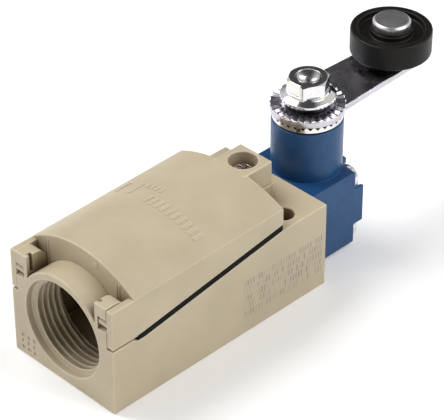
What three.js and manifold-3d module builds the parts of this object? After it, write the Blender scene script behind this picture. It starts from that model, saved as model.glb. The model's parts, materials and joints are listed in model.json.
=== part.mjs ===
// Limit switch with a side roller lever, lying on its mounting face, in millimetres.
// Frame: origin at the centre of the case's mounting face, +X across the width, +Y from the
// conduit entry towards the head and the lever, +Z out of the cover.
// Inside the model every y is counted from the conduit end; the last group moves them to the frame.
import * as THREE from "three";
import { mergeVertices } from "three/addons/utils/BufferGeometryUtils.js";
import Module from "manifold-3d";

const wasm = await Module();
wasm.setup();

// ---------------------------------------------------------------- driving dimensions

// Fits
const seatGap = 0.05; // between faces that rest on each other
const runningClearance = 0.06; // radial, shafts in bores
const slideClearance = 0.1; // beside parts that swing or slide
const roundSides = 32;
const smallSides = 16;
const pinSides = 12;

// Case
const caseWidth = 29;
const caseLength = 58.7;
const wall = 1.6;
const floorThickness = 2;
const ledgeHeight = 20; // flat end beside the cover's tab
const ledgeLength = 12.55; // from the cover's end to the head
const rearBlockLength = 14.2; // solid end that carries the head
const rimHeight = 14.6; // gasket seat at its lowest
const shoulderHeight = 15.25; // under the cover's arms
const mountingPitch = 21;
const mountingHoleRadius = 2.15;
const mountingHoleInset = 8.4; // from the head's face

// Conduit entry, a 20.4 mm pipe thread
const conduitHeight = 12.8;
const threadMajorRadius = 10.2;
const threadDepth = 0.66;
const threadPitch = 1.41;
const threadTurns = 5;
const mouthDepth = 1.2;
const collarWall = 1.9;
const collarLength = 5.8;
const conduitWallLength = 8.6; // collar and front wall together

// Cover
const gasketThickness = 1.35;
const sideTopNear = 24.6;
const sideTopFar = 25.2;
const crownNear = 29.4;
const crownFar = 28.5;
const coverFrontWall = 2.6;
const tabWidth = 8.9;
const tabLength = 6.95;
const tabTop = 28.35;
const tabBottom = 23;
const bossOverhang = 0.5; // of the screw boss past the tab

// Hinge
const hingeHeight = 20.9;
const hingeSetback = 1.2;
const hingePinRadius = 1.05;
const hingePinLength = 2.4;
const armThickness = 1.55;
const postWidth = 3.15;
const postDepth = 5;
const postTop = 24.9;
const postRounding = 2.7; // of the post's back edge
const postNotchStart = 0.8;
const postNotchEnd = 1.7;
const postNotchDepth = 0.8;

// Cover screw
const coverScrewRadius = 1.5;
const coverScrewHeadRadius = 2.75;
const coverScrewHeadHeight = 1.9;
const coverScrewReach = 4; // below the boss's top
const coverScrewSeat = 24.3;
const coverScrewInset = 3.1; // from the cover's end
const insertWall = 1;

// Head
const headBottom = 0.57;
const headTop = 18.45;
const headLength = 14.1;
const ribLength = 16.2;
const ribWidth = 9;
const headAxis = 9.2; // from the case to the shaft's axis
const bossRadius = 7.5;
const bossTop = 30.3;
const headScrewZ = 6.2; // above and below the head's middle
const headScrewRadius = 1.45;
const headScrewHeadRadius = 2.6;
const headScrewHeadHeight = 1.9;
const headScrewReach = 5.6; // into the case
const headScrewEdge = 0.2; // from a screw's head to the side of the casting
const headScrewWall = 0.65; // between a screw's hole and the shaft's
const headScrewRoom = 0.15; // around a screw in its hole

// Shaft
const shaftRadius = 3;
const studRadius = 2.42;
const pivotRadius = 2;
const studTop = 40.75;
const studDomeHeight = 1.05;
const camWall = 1.4; // around the shaft
const camFlatWall = 0.7; // left at the flat
const camThickness = 7.6;
const camPinRadius = 0.8;
const camPinInset = 0.3; // of the pin's ends inside the cam
const bushingWall = 2;
const bushingLength = 11;
const sealWall = 3.2;
const sealLip = 0.3; // from the lip to the boss's edge
const ringThickness = 0.6;
const ringGrooveDepth = 0.5;
const ringStand = 1.2; // of the ring past the shaft
const ringRoom = 0.3; // around the ring
const ringOpening = 0.5; // radians, half of the ring's opening
const sealDepth = 1.7; // from the boss's top to the bushing

// Lever, hub and nut
const leverRadius = 25; // shaft to roller
const leverBottom = 32.15;
const leverTop = 33.6;
const leverShaftEnd = 6.6; // half width at the shaft
const leverRollerEnd = 5.6; // half width at the roller
const serrationOuter = 7.85;
const serrationInner = 5.8;
const serrationHeight = 0.35;
const serrationTeeth = 30;
const hubRadius = 7.4;
const hubBottom = 30.6;
const hubNotchDepth = 0.7;
const nutFlangeRadius = 5.79;
const nutFlangeBottom = 35.15;
const nutTop = 39.75;
const nutAcrossFlats = 8;
const nutFlangeRim = 0.7;
const nutChamferStart = 3.9; // radius at which the top's chamfer starts
const nutChamferSlope = 0.577;
const lockWasherRadius = 4.6;

// Roller
const rollerRadius = 8.6;
const rollerBottom = 35;
const rollerTop = 40.5;
const rollerRim = 1.6;
const rollerWebTop = 39.3;
const rollerHubWall = 1.95;
const rollerPinRadius = 2.45;
const rollerPinHeadLip = 1.55;
const rollerPinTop = 42.5;
const rollerPinTailLip = 0.75;
const rollerPinStep = 0.35; // from the pin to its end in the lever

// Plunger
const plungerStemRadius = 1.5;
const plungerPlateLip = 2.5;
const plungerPlateThickness = 1.65;
const plungerTravel = 1.6;
const guideWall = 0.57;
const springWire = 0.3;
const springPocketDepth = 6;

// Switch block
const switchWidth = 23;
const switchSetback = 2.5; // from the solid end of the case
const chamberLength = 14;
const shelfLength = 10;
const shelfTop = 6.2;
const switchTop = 12.5;
const chamberHalfWidth = 6.9;
const chamberWall = 1.3;
const terminalThickness = 0.8;
const terminalWidth = 4.6;
const terminalPitch = 5.7;
const terminalScrewInset = 5.6; // from the contact chamber
const terminalScrewRadius = 1.4;
const bridgeInset = 7.2; // from the start of the contact chamber
const bridgeThickness = 0.8;
const buttonRadius = 1.3;
const contactGap = 0.06;
const openContactX = 3.1;
const closedContactX = 5.6;
const switchScrewX = 9.55;
const switchScrewInset = 4.5; // from the end of the block
const switchScrewRadius = 1.2;
const switchScrewSeat = 9;
const switchFootTop = 5;
const switchFootRadius = 2.2;
const switchScrewHeadRadius = 1.9;
const switchScrewHeadHeight = 1.5;
const terminalScrewHeadRadius = 2.25;
const terminalScrewHeadHeight = 1.7;
const barrierThickness = 0.7; // between neighbouring terminals
const barrierRise = 5.3; // above the terminals' shelf
const bridgeHalfLength = 6.5;
const bridgeHalfHeight = 1.55;
const contactStudRadius = 0.9;
const contactStudReach = 0.6;
const contactSpringRadius = 1.5;
const contactSpringWire = 0.22;

// ---------------------------------------------------------------- worked-out places

const halfWidth = caseWidth / 2;
const coverEnd = caseLength - ledgeLength;
const rearWallStart = caseLength - rearBlockLength;
const collarRadius = threadMajorRadius + collarWall;
const rimStart = conduitWallLength;
const rimSlope = (ledgeHeight - rimHeight) / (coverEnd - rimStart);
const headMiddle = (headBottom + headTop) / 2;
const shaftY = caseLength + headAxis;
const rollerY = shaftY + leverRadius;
const tabEnd = coverEnd + tabLength;
const bossEnd = tabEnd + bossOverhang;
const screwBossTop = tabBottom - 2 * slideClearance;
const coverScrewY = coverEnd + coverScrewInset;
const mountingHoleY = caseLength - mountingHoleInset;
const postOuter = halfWidth - armThickness - slideClearance;
const coverFrontEnd = collarLength + coverFrontWall;
const archLength = 1.3; // of the gasket's arch, along the conduit
const archSeatRadius = collarRadius - 1.1;
const switchEnd = rearWallStart - switchSetback;
const chamberStart = switchEnd - chamberLength;
const shelfStart = chamberStart - shelfLength;
const terminalScrewY = chamberStart - terminalScrewInset;
const bridgeFront = chamberStart + bridgeInset;
const switchScrewY = switchEnd - switchScrewInset;
const chamberFrontInner = chamberStart + chamberWall;
const chamberRearInner = switchEnd - chamberWall;
const pivotHoleBottom = headBottom + 2;
const camRadius = shaftRadius + camWall;
const camFlat = shaftRadius + camFlatWall;
const camChamberWidth = 2 * (camRadius + 1.2);
const camChamberHeight = ribWidth;
const camChamberLength = headAxis + camRadius + 0.25;
const bushingRadius = shaftRadius + bushingWall;
const sealRadius = shaftRadius + sealWall;
const sealLipRadius = bossRadius - sealLip;
const grooveRadius = shaftRadius - ringGrooveDepth;
const bushingBottom = bossTop - sealDepth - bushingLength;
const ringBottom = bushingBottom - ringThickness - 2 * seatGap;
const throatRadius = shaftRadius + ringStand + ringRoom;
const headScrewX = throatRadius + headScrewWall + headScrewRoom + headScrewRadius;
const headWidth = 2 * (headScrewX + headScrewHeadRadius + headScrewEdge);
const rollerHubRadius = rollerPinRadius + rollerHubWall;
const rollerPinHeadRadius = rollerPinRadius + rollerPinHeadLip;
const rollerPinTailRadius = rollerPinRadius + rollerPinTailLip;
const rollerPinWaist = rollerPinRadius - rollerPinStep;
const plungerBoreRadius = boreRadius(plungerStemRadius) + guideWall + seatGap;
const springRadius = plungerStemRadius + 2 * springWire + runningClearance * 2;
const springPocketRadius = springRadius + 2 * springWire + 0.2;
const plungerPlateRadius = plungerStemRadius + plungerPlateLip;

const rimAt = (y) => rimHeight + rimSlope * (y - rimStart);
const coverEdgeAt = (y) => rimAt(y) + gasketThickness + 2 * seatGap;

// ---------------------------------------------------------------- materials

const finish = (color, roughness, metalness) =>
  new THREE.MeshStandardMaterial({ color, roughness, metalness });
const beige = finish(0xc2b18c, 0.5, 0);
const blue = finish(0x2f4f80, 0.45, 0.1);
const black = finish(0x151515, 0.6, 0);
const zinc = finish(0xc9c9cc, 0.25, 1);
const steel = finish(0x9b9b9f, 0.3, 1);
const bronze = finish(0x8c6b3e, 0.5, 1);
const brass = finish(0xc8a551, 0.35, 1);
const phenolic = finish(0x2a1d18, 0.5, 0);
const nylon = finish(0xd8d4c6, 0.5, 0);

// ---------------------------------------------------------------- solids and shapes

// A closed geometry as a solid that can be joined and cut.
function solid(geometry) {
  const bare = geometry.index ? geometry.toNonIndexed() : geometry.clone();
  bare.deleteAttribute("normal");
  bare.deleteAttribute("uv");
  const merged = mergeVertices(bare, 1e-4);
  const corners = merged.index.array;
  const kept = [];
  for (let i = 0; i < corners.length; i += 3) {
    const [a, b, c] = corners.slice(i, i + 3);
    if (a !== b && b !== c && c !== a) kept.push(a, b, c);
  }
  return new wasm.Manifold(
    new wasm.Mesh({
      numProp: 3,
      vertProperties: merged.attributes.position.array,
      triVerts: new Uint32Array(kept),
    }),
  );
}

function geometryOf(shape) {
  const mesh = shape.getMesh();
  const geometry = new THREE.BufferGeometry();
  geometry.setAttribute("position", new THREE.BufferAttribute(mesh.vertProperties, 3));
  geometry.setIndex(new THREE.BufferAttribute(mesh.triVerts, 1));
  geometry.computeVertexNormals();
  return geometry;
}

const join = (first, ...others) => others.reduce((all, one) => all.add(one), first);
const cut = (first, ...others) => others.reduce((all, one) => all.subtract(one), first);

// A box from its low and high limits along each axis.
function box(x0, x1, y0, y1, z0, z1) {
  const geometry = new THREE.BoxGeometry(x1 - x0, y1 - y0, z1 - z0);
  geometry.translate((x0 + x1) / 2, (y0 + y1) / 2, (z0 + z1) / 2);
  return solid(geometry);
}

// Moves a geometry made about its own Y axis so that the axis lies along x, y or z
// and passes through place.
function along(axis, geometry, place) {
  if (axis === "x") geometry.rotateZ(-Math.PI / 2);
  if (axis === "z") geometry.rotateX(Math.PI / 2);
  geometry.translate(...place);
  return geometry;
}

// A round bar between two limits along an axis; place gives the other two coordinates.
function bar(axis, radius, from, to, place, sides = roundSides) {
  const geometry = new THREE.CylinderGeometry(radius, radius, to - from, sides);
  geometry.translate(0, (from + to) / 2, 0);
  return solid(along(axis, geometry, place));
}

// The radius to draw a many-sided bore with, so that its flats clear a shaft.
function boreRadius(radius, clearance = runningClearance, sides = roundSides) {
  return (radius + clearance) / Math.cos(Math.PI / sides);
}

// A turned piece. profile lists [radius, height] up the outside and, for a ring, down the inside.
function turned(axis, profile, place, sides = roundSides) {
  const points = profile.map(([radius, height]) => new THREE.Vector2(radius, height));
  return solid(along(axis, new THREE.LatheGeometry(points, sides), place));
}

function ring(axis, inner, outer, from, to, place, sides = roundSides) {
  const profile = [
    [inner, from],
    [outer, from],
    [outer, to],
    [inner, to],
    [inner, from],
  ];
  return turned(axis, profile, place, sides);
}

// An outline in (y, z), swept across the width.
function sweptAcross(points, from, to) {
  const shape = new THREE.Shape(points.map(([y, z]) => new THREE.Vector2(y, z)));
  const geometry = new THREE.ExtrudeGeometry(shape, { depth: to - from, bevelEnabled: false });
  const turn = new THREE.Matrix4().makeBasis(
    new THREE.Vector3(0, 1, 0),
    new THREE.Vector3(0, 0, 1),
    new THREE.Vector3(1, 0, 0),
  );
  geometry.applyMatrix4(turn);
  geometry.translate(from, 0, 0);
  return solid(geometry);
}

// A plate with an outline in (x, y), between two heights.
function plate(shape, from, to, curveSegments = 12) {
  const depth = to - from;
  const geometry = new THREE.ExtrudeGeometry(shape, { depth, bevelEnabled: false, curveSegments });
  geometry.translate(0, 0, from);
  return solid(geometry);
}

// A coil spring about a line along Y.
class CoilPath extends THREE.Curve {
  constructor(radius, from, to, turns, height) {
    super();
    Object.assign(this, { radius, from, to, turns, height });
  }
  getPoint(t, target = new THREE.Vector3()) {
    const angle = 2 * Math.PI * this.turns * t;
    const y = this.from + (this.to - this.from) * t;
    const x = this.radius * Math.cos(angle);
    return target.set(x, y, this.height + this.radius * Math.sin(angle));
  }
}

function coilSpring(radius, wire, from, to, turns, height) {
  const path = new CoilPath(radius, from + wire, to - wire, turns, height);
  const section = new THREE.Shape().absarc(0, 0, wire, 0, 2 * Math.PI);
  const steps = 10 * turns;
  const options = { steps, extrudePath: path, curveSegments: 3, bevelEnabled: false };
  return solid(new THREE.ExtrudeGeometry(section, options));
}

// A ring whose top has radial V-shaped teeth.
function toothedRing(inner, outer, bottom, valley, peak, teeth, place) {
  const points = [
    [inner, bottom],
    [outer, bottom],
    [outer, peak],
    [inner, peak],
    [inner, bottom],
  ].map(([radius, height]) => new THREE.Vector2(radius, height));
  const geometry = new THREE.LatheGeometry(points, 2 * teeth);
  for (let step = 1; step < 2 * teeth; step += 2) {
    geometry.attributes.position.setY(step * points.length + 2, valley);
    geometry.attributes.position.setY(step * points.length + 3, valley);
  }
  return solid(along("z", geometry, place));
}

// A cross recess for a screw driver, cut down from the top of a head.
function crossRecess(axis, size, depth, top, place) {
  const bars = [
    [size, size * 0.28],
    [size * 0.28, size],
  ].map(([wide, deep]) => {
    const geometry = new THREE.BoxGeometry(2 * wide, depth + 1, 2 * deep);
    geometry.translate(0, top - depth + (depth + 1) / 2, 0);
    return solid(along(axis, geometry, place));
  });
  return join(...bars);
}

// A pan-head screw: its head stands on seat, its shank reaches down to tip.
function panScrew(axis, shank, headRadius, headHeight, seat, tip, place) {
  const profile = [
    [0, tip],
    [shank * 0.6, tip],
    [shank, tip + 0.5],
    [shank, seat],
    [headRadius, seat],
    [headRadius, seat + headHeight * 0.6],
    [headRadius * 0.8, seat + headHeight],
    [0, seat + headHeight],
  ];
  const screw = turned(axis, profile, place, smallSides);
  return cut(screw, crossRecess(axis, headRadius * 0.55, headHeight * 0.6, seat + headHeight, place));
}

// ---------------------------------------------------------------- assembly

const limitSwitch = new THREE.Group();
const fromConduitEnd = new THREE.Group();
fromConduitEnd.position.y = -caseLength / 2;
limitSwitch.add(fromConduitEnd);

function add(name, shape, material) {
  const mesh = new THREE.Mesh(geometryOf(shape), material);
  mesh.name = name;
  fromConduitEnd.add(mesh);
}

// ---------------------------------------------------------------- case

// The conduit entry as a cutter: a plain mouth and V-shaped thread grooves.
function conduitCutter() {
  const minor = threadMajorRadius - threadDepth;
  const start = mouthDepth;
  const profile = [
    [0, -1],
    [threadMajorRadius + 0.2, -1],
    [threadMajorRadius + 0.2, start],
    [minor, start],
  ];
  for (let turn = 0; turn < threadTurns; turn++) {
    const base = start + turn * threadPitch;
    profile.push([threadMajorRadius, base + threadPitch / 2]);
    profile.push([minor, base + threadPitch]);
  }
  profile.push([minor, conduitWallLength + 1]);
  profile.push([0, conduitWallLength + 1]);
  return turned("y", profile, [0, 0, conduitHeight]);
}

function hingePost(side) {
  const back = [];
  const roundingSteps = 5;
  for (let step = 0; step <= roundingSteps; step++) {
    const angle = (step / roundingSteps) * (Math.PI / 2);
    const y = postDepth - postRounding * (1 - Math.cos(angle));
    back.push([y, postTop - postRounding * (1 - Math.sin(angle))]);
  }
  const outline = [[0, conduitHeight], [postDepth, conduitHeight], ...back, [0, postTop]];
  const x = [side * postOuter, side * (postOuter - postWidth)];
  const post = sweptAcross(outline, Math.min(...x), Math.max(...x));
  // The slot is open at the end face and outwards, and its end is round, to hold the hinge pin.
  const seatRadius = boreRadius(hingePinRadius, slideClearance);
  const slotX = [side * (postOuter + 1), side * (halfWidth - armThickness - hingePinLength - seatGap)];
  const [low, high] = [Math.min(...slotX), Math.max(...slotX)];
  const seat = bar("x", seatRadius, low, high, [0, hingeSetback, hingeHeight], smallSides);
  const flareBelow = 0.65;
  const flareAbove = 0.2;
  const mouth = sweptAcross(
    [
      [-1, hingeHeight - seatRadius - flareBelow],
      [0, hingeHeight - seatRadius - flareBelow],
      [hingeSetback, hingeHeight - seatRadius],
      [hingeSetback, hingeHeight + seatRadius],
      [0, hingeHeight + seatRadius + flareAbove],
      [-1, hingeHeight + seatRadius + flareAbove],
    ],
    low,
    high,
  );
  const notchX = side * (postOuter - postWidth);
  const notch = box(
    notchX - postNotchDepth,
    notchX + postNotchDepth,
    postNotchStart,
    postNotchEnd,
    hingeHeight,
    postTop + 1,
  );
  return cut(post, seat, mouth, notch);
}

function makeCase() {
  const side = sweptAcross(
    [
      [0, 0],
      [caseLength, 0],
      [caseLength, ledgeHeight],
      [coverEnd, ledgeHeight],
      [rimStart, rimHeight],
      [collarLength + 0.8, rimHeight],
      [collarLength - 0.2, shoulderHeight],
      [0, shoulderHeight],
    ],
    -halfWidth,
    halfWidth,
  );
  const axis = [0, 0, conduitHeight];
  const collar = bar("y", collarRadius, 0, conduitWallLength - archLength - seatGap, axis);
  const gasketSeat = bar("y", archSeatRadius, 1, conduitWallLength, axis);
  const screwBoss = box(
    -tabWidth / 2,
    tabWidth / 2,
    coverEnd + slideClearance,
    bossEnd,
    ledgeHeight - 1,
    screwBossTop,
  );
  const wiringSpace = box(
    -halfWidth + wall,
    halfWidth - wall,
    conduitWallLength,
    rearWallStart,
    floorThickness,
    crownNear,
  );
  const below = box(-caseWidth, caseWidth, -1, caseLength, -wall * 2, 0);
  let body = cut(join(side, collar, gasketSeat, hingePost(-1), hingePost(1), screwBoss), below);
  body = cut(body, wiringSpace, conduitCutter());

  const holes = [];
  for (const x of [-mountingPitch / 2, mountingPitch / 2]) {
    const place = [x, mountingHoleY, 0];
    holes.push(bar("z", mountingHoleRadius, -1, ledgeHeight + 1, place));
  }
  for (const [x, z] of headScrewPlaces()) {
    const hole = boreRadius(headScrewRadius, seatGap, smallSides);
    const end = caseLength + 1;
    holes.push(bar("y", hole, caseLength - headScrewReach - 0.5, end, [x, 0, z], smallSides));
  }
  const plungerAxis = [0, 0, headMiddle];
  const pocketStart = caseLength - springPocketDepth;
  holes.push(bar("y", plungerBoreRadius, rearWallStart - 1, caseLength + 1, plungerAxis));
  holes.push(bar("y", springPocketRadius, pocketStart, caseLength + 1, plungerAxis));
  const insert = boreRadius(coverScrewRadius + slideClearance + insertWall, seatGap, smallSides);
  const insertBottom = screwBossTop - coverScrewReach - 1.2;
  const screwAxis = [0, coverScrewY, 0];
  holes.push(bar("z", insert, insertBottom, screwBossTop + 1, screwAxis, smallSides));

  const feet = [-1, 1].map((way) => {
    const place = [way * switchScrewX, switchScrewY, 0];
    return cut(
      bar("z", switchFootRadius, floorThickness - 0.5, switchFootTop, place, smallSides),
      bar("z", switchScrewRadius + seatGap, floorThickness + 0.2, switchFootTop + 1, place, smallSides),
    );
  });
  add("case", join(cut(body, ...holes), ...feet), beige);
}

function headScrewPlaces() {
  const places = [];
  for (const z of [headMiddle - headScrewZ, headMiddle + headScrewZ]) {
    places.push([-headScrewX, z], [headScrewX, z]);
  }
  return places;
}

// ---------------------------------------------------------------- gasket and cover

function makeCoverGasket() {
  const inset = 0.15; // how far the rubber stands in from the case's sides
  const outer = halfWidth - inset;
  const inner = halfWidth - wall;
  const rear = coverEnd - inset;
  const top = (y) => rimAt(y) + seatGap + gasketThickness;
  const low = rimHeight + seatGap;
  const start = collarLength + 0.9;
  const outline = [
    [start, low],
    [rimStart, low],
    [rear, rimAt(rear) + seatGap],
    [rear, top(rear)],
    [start, top(start)],
  ];
  const whole = sweptAcross(outline, -outer, outer);
  const hollow = box(-inner, inner, conduitWallLength, rearWallStart + seatGap, 0, crownNear);
  const front = box(-inner, inner, 0, conduitWallLength - archLength, 0, crownNear);
  const axis = [0, 0, conduitHeight];
  const archEnd = conduitWallLength - 0.02;
  const arch = bar("y", collarRadius, conduitWallLength - archLength + 0.02, archEnd, axis);
  const lower = box(-halfWidth, halfWidth, 0, conduitWallLength + 1, 0, low + 0.02);
  const opening = bar("y", boreRadius(archSeatRadius, seatGap), 0, conduitWallLength + 1, axis);
  add("cover_gasket", cut(join(cut(whole, hollow, front), cut(arch, lower)), opening), black);
}

// Height of the dome's outside: a circular arc across the width, blended along the length.
function domeTop(x, y, inset = 0) {
  const share = (y - collarLength) / (coverEnd - collarLength);
  const side = sideTopNear + (sideTopFar - sideTopNear) * share;
  const crown = crownNear + (crownFar - crownNear) * share;
  const rise = crown - side;
  const arcRadius = (halfWidth ** 2 + rise ** 2) / (2 * rise);
  const arcCentre = crown - arcRadius;
  return arcCentre + Math.sqrt((arcRadius - inset) ** 2 - x ** 2);
}

// A block under the dome, from a bottom height up, between two y limits.
function domedBlock(half, from, to, inset, bottom) {
  const steps = 16;
  const shape = new THREE.Shape();
  shape.moveTo(-half, bottom);
  shape.lineTo(half, bottom);
  for (let step = 0; step <= steps; step++) {
    shape.lineTo(half - (2 * half * step) / steps, crownNear);
  }
  const geometry = new THREE.ExtrudeGeometry(shape, { depth: to - from, bevelEnabled: false });
  const turn = new THREE.Matrix4().makeBasis(
    new THREE.Vector3(1, 0, 0),
    new THREE.Vector3(0, 0, 1),
    new THREE.Vector3(0, -1, 0),
  );
  geometry.applyMatrix4(turn);
  geometry.translate(0, to, 0);
  const place = geometry.attributes.position;
  for (let i = 0; i < place.count; i++) {
    if (place.getZ(i) > bottom + 0.001) {
      place.setZ(i, domeTop(place.getX(i), place.getY(i), inset));
    }
  }
  return solid(geometry);
}

function makeCover() {
  const bottom = rimHeight - 1;
  const inner = halfWidth - wall;
  const outside = domedBlock(halfWidth, collarLength, coverEnd, 0, bottom);
  const inside = domedBlock(inner, coverFrontEnd, coverEnd - wall, wall, bottom - 1);
  const belowEdge = sweptAcross(
    [
      [0, 0],
      [coverEnd + 1, 0],
      [coverEnd + 1, coverEdgeAt(coverEnd + 1)],
      [0, coverEdgeAt(0)],
    ],
    -caseWidth,
    caseWidth,
  );
  const arch = boreRadius(collarRadius, slideClearance);
  const overCollar = bar("y", arch, 0, coverFrontEnd + 1, [0, 0, conduitHeight]);
  const shell = cut(outside, inside, belowEdge, overCollar);

  const arms = [-1, 1].map((side) => {
    const armX = [side * halfWidth, side * (halfWidth - armThickness)];
    const [low, high] = [Math.min(...armX), Math.max(...armX)];
    const edge = coverEdgeAt(collarLength);
    const arm = box(low, high, seatGap, collarLength + 0.5, edge, sideTopNear);
    const pinX = [side * (halfWidth - 0.5), side * (halfWidth - armThickness - hingePinLength)];
    const pinPlace = [0, hingeSetback, hingeHeight];
    const pin = bar("x", hingePinRadius, Math.min(...pinX), Math.max(...pinX), pinPlace, smallSides);
    return join(arm, pin);
  });

  const tab = box(-tabWidth / 2, tabWidth / 2, coverEnd - 1, tabEnd, tabBottom, tabTop);
  const screwAxis = [0, coverScrewY, 0];
  const headHole = bar("z", coverScrewHeadRadius + 0.3, coverScrewSeat, tabTop + 1, screwAxis);
  const shankHole = bar("z", coverScrewRadius + 0.2, tabBottom - 1, tabTop, screwAxis, smallSides);
  add("cover", cut(join(shell, ...arms, tab), headHole, shankHole), beige);
}

function makeCoverScrew() {
  const place = [0, coverScrewY, 0];
  const tip = screwBossTop - coverScrewReach;
  const screw = panScrew(
    "z",
    coverScrewRadius,
    coverScrewHeadRadius,
    coverScrewHeadHeight,
    coverScrewSeat + seatGap,
    tip,
    place,
  );
  add("cover_screw", screw, zinc);
  const bore = boreRadius(coverScrewRadius, slideClearance, smallSides);
  const outer = coverScrewRadius + slideClearance + insertWall;
  const insert = ring("z", bore, outer, tip - 1, screwBossTop, place, smallSides);
  add("cover_screw_insert", insert, brass);
}

// ---------------------------------------------------------------- head

function makeHead() {
  const start = caseLength + seatGap;
  const half = headWidth / 2;
  const ribEnd = caseLength + ribLength;
  const core = box(-half, half, start, caseLength + headLength, headBottom, headTop);
  const upright = box(-ribWidth / 2, ribWidth / 2, start, ribEnd, headBottom, headTop);
  const level = box(-half, half, start, ribEnd, headMiddle - ribWidth / 2, headMiddle + ribWidth / 2);
  const boss = bar("z", bossRadius, headMiddle, bossTop, [0, shaftY, 0]);
  const chamber = box(
    -camChamberWidth / 2,
    camChamberWidth / 2,
    caseLength - 1,
    caseLength + camChamberLength,
    headMiddle - camChamberHeight / 2,
    headMiddle + camChamberHeight / 2,
  );
  const place = [0, shaftY, 0];
  const bushingHole = boreRadius(bushingRadius, seatGap);
  const sealHole = boreRadius(sealRadius, seatGap);
  const sealStart = bossTop - sealDepth + seatGap;
  const cuts = [
    chamber,
    bar("z", throatRadius, headMiddle, bushingBottom, place),
    bar("z", bushingHole, bushingBottom - seatGap, bossTop + 1, place),
    bar("z", sealHole, sealStart, bossTop + 1, place),
    bar("z", boreRadius(pivotRadius), pivotHoleBottom, headMiddle, place),
  ];
  for (const [x, z] of headScrewPlaces()) {
    const hole = headScrewRadius + headScrewRoom;
    const seat = caseLength + headLength;
    cuts.push(bar("y", hole, caseLength - 1, seat + 1, [x, 0, z], smallSides));
    cuts.push(bar("y", headScrewHeadRadius + 0.15, seat, ribEnd + 1, [x, 0, z], smallSides));
  }
  const pocket = headGasketOutline(0.1);
  cuts.push(box(...pocket.x, caseLength - 1, caseLength + 0.6, ...pocket.z));
  add("head_housing", cut(join(core, upright, level, boss), ...cuts), blue);
}

function headGasketOutline(grow) {
  const inset = 0.8 - grow;
  const half = headWidth / 2 - inset;
  return { x: [-half, half], z: [headBottom + inset, headTop - inset] };
}

function makeHeadGasket() {
  const outline = headGasketOutline(0);
  const gasket = box(...outline.x, caseLength + seatGap, caseLength + 0.5, ...outline.z);
  const half = camChamberWidth / 2;
  const halfHeight = camChamberHeight / 2;
  const start = caseLength - 1;
  const end = caseLength + 1;
  const cuts = [box(-half, half, start, end, headMiddle - halfHeight, headMiddle + halfHeight)];
  for (const [x, z] of headScrewPlaces()) {
    cuts.push(bar("y", headScrewRadius + headScrewRoom, start, end, [x, 0, z], smallSides));
  }
  add("head_gasket", cut(gasket, ...cuts), black);
}

function makeHeadScrews() {
  headScrewPlaces().forEach(([x, z], index) => {
    const seat = caseLength + headLength + seatGap;
    const tip = caseLength - headScrewReach;
    const screw = panScrew(
      "y",
      headScrewRadius,
      headScrewHeadRadius,
      headScrewHeadHeight,
      seat,
      tip,
      [x, 0, z],
    );
    add(`head_screw_${index + 1}`, screw, zinc);
  });
}

// ---------------------------------------------------------------- shaft group

function makeBushingAndSeal() {
  const place = [0, shaftY, 0];
  const top = bushingBottom + bushingLength;
  const bore = boreRadius(shaftRadius);
  const bushing = ring("z", bore, bushingRadius, bushingBottom, top, place);
  add("shaft_bushing", bushing, bronze);
  const sealBottom = top + 2 * seatGap;
  const lipBottom = bossTop + seatGap;
  const lipTop = hubBottom - slideClearance;
  const profile = [
    [bore, sealBottom],
    [sealRadius, sealBottom],
    [sealRadius, lipBottom],
    [sealLipRadius, lipBottom],
    [sealLipRadius, lipTop],
    [bore, lipTop],
    [bore, sealBottom],
  ];
  add("shaft_seal", turned("z", profile, place), black);
}

function makeShaft() {
  const place = [0, shaftY, 0];
  const pivotBottom = pivotHoleBottom + slideClearance;
  const pivotTop = headMiddle - camChamberHeight / 2 + slideClearance;
  const grooveBottom = ringBottom - seatGap;
  const grooveTop = ringBottom + ringThickness + seatGap;
  const profile = [
    [0, pivotBottom],
    [pivotRadius, pivotBottom],
    [pivotRadius, pivotTop],
    [shaftRadius, pivotTop],
    [shaftRadius, grooveBottom],
    [grooveRadius, grooveBottom],
    [grooveRadius, grooveTop],
    [shaftRadius, grooveTop],
    [shaftRadius, hubBottom - seatGap],
    [studRadius, hubBottom - seatGap],
  ];
  const domeSteps = 4;
  for (let step = 0; step < domeSteps; step++) {
    const angle = (step / domeSteps) * (Math.PI / 2);
    const height = studTop - studDomeHeight * (1 - Math.sin(angle));
    profile.push([studRadius * Math.cos(angle), height]);
  }
  profile.push([0, studTop]);
  const pinPlace = [0, shaftY, headMiddle];
  const pinHole = bar("x", camPinRadius + seatGap, -camRadius, camRadius, pinPlace, pinSides);
  add("actuator_shaft", cut(turned("z", profile, place), pinHole), steel);
}

function makeCam() {
  const place = [0, shaftY, 0];
  const bottom = headMiddle - camThickness / 2;
  const top = headMiddle + camThickness / 2;
  const wheel = ring("z", shaftRadius + runningClearance, camRadius, bottom, top, place);
  const flatStart = shaftY - 2 * camRadius;
  const flat = box(-camRadius, camRadius, flatStart, shaftY - camFlat, bottom - 1, top + 1);
  const pinPlace = [0, shaftY, headMiddle];
  const pinHole = bar("x", camPinRadius + seatGap, -camRadius - 1, camRadius + 1, pinPlace, pinSides);
  add("cam", cut(wheel, flat, pinHole), steel);
  const halfPin = Math.sqrt(camRadius ** 2 - camPinRadius ** 2) - camPinInset;
  add("cam_pin", bar("x", camPinRadius, -halfPin, halfPin, pinPlace, pinSides), zinc);
}

function makeRetainingRing() {
  const outer = shaftRadius + ringStand;
  const inner = grooveRadius + 0.08;
  const shape = new THREE.Shape();
  shape.absarc(0, shaftY, outer, ringOpening, 2 * Math.PI - ringOpening, false);
  shape.absarc(0, shaftY, inner, 2 * Math.PI - ringOpening, ringOpening, true);
  add("shaft_retaining_ring", plate(shape, ringBottom, ringBottom + ringThickness, 20), zinc);
}

// ---------------------------------------------------------------- lever group

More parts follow.
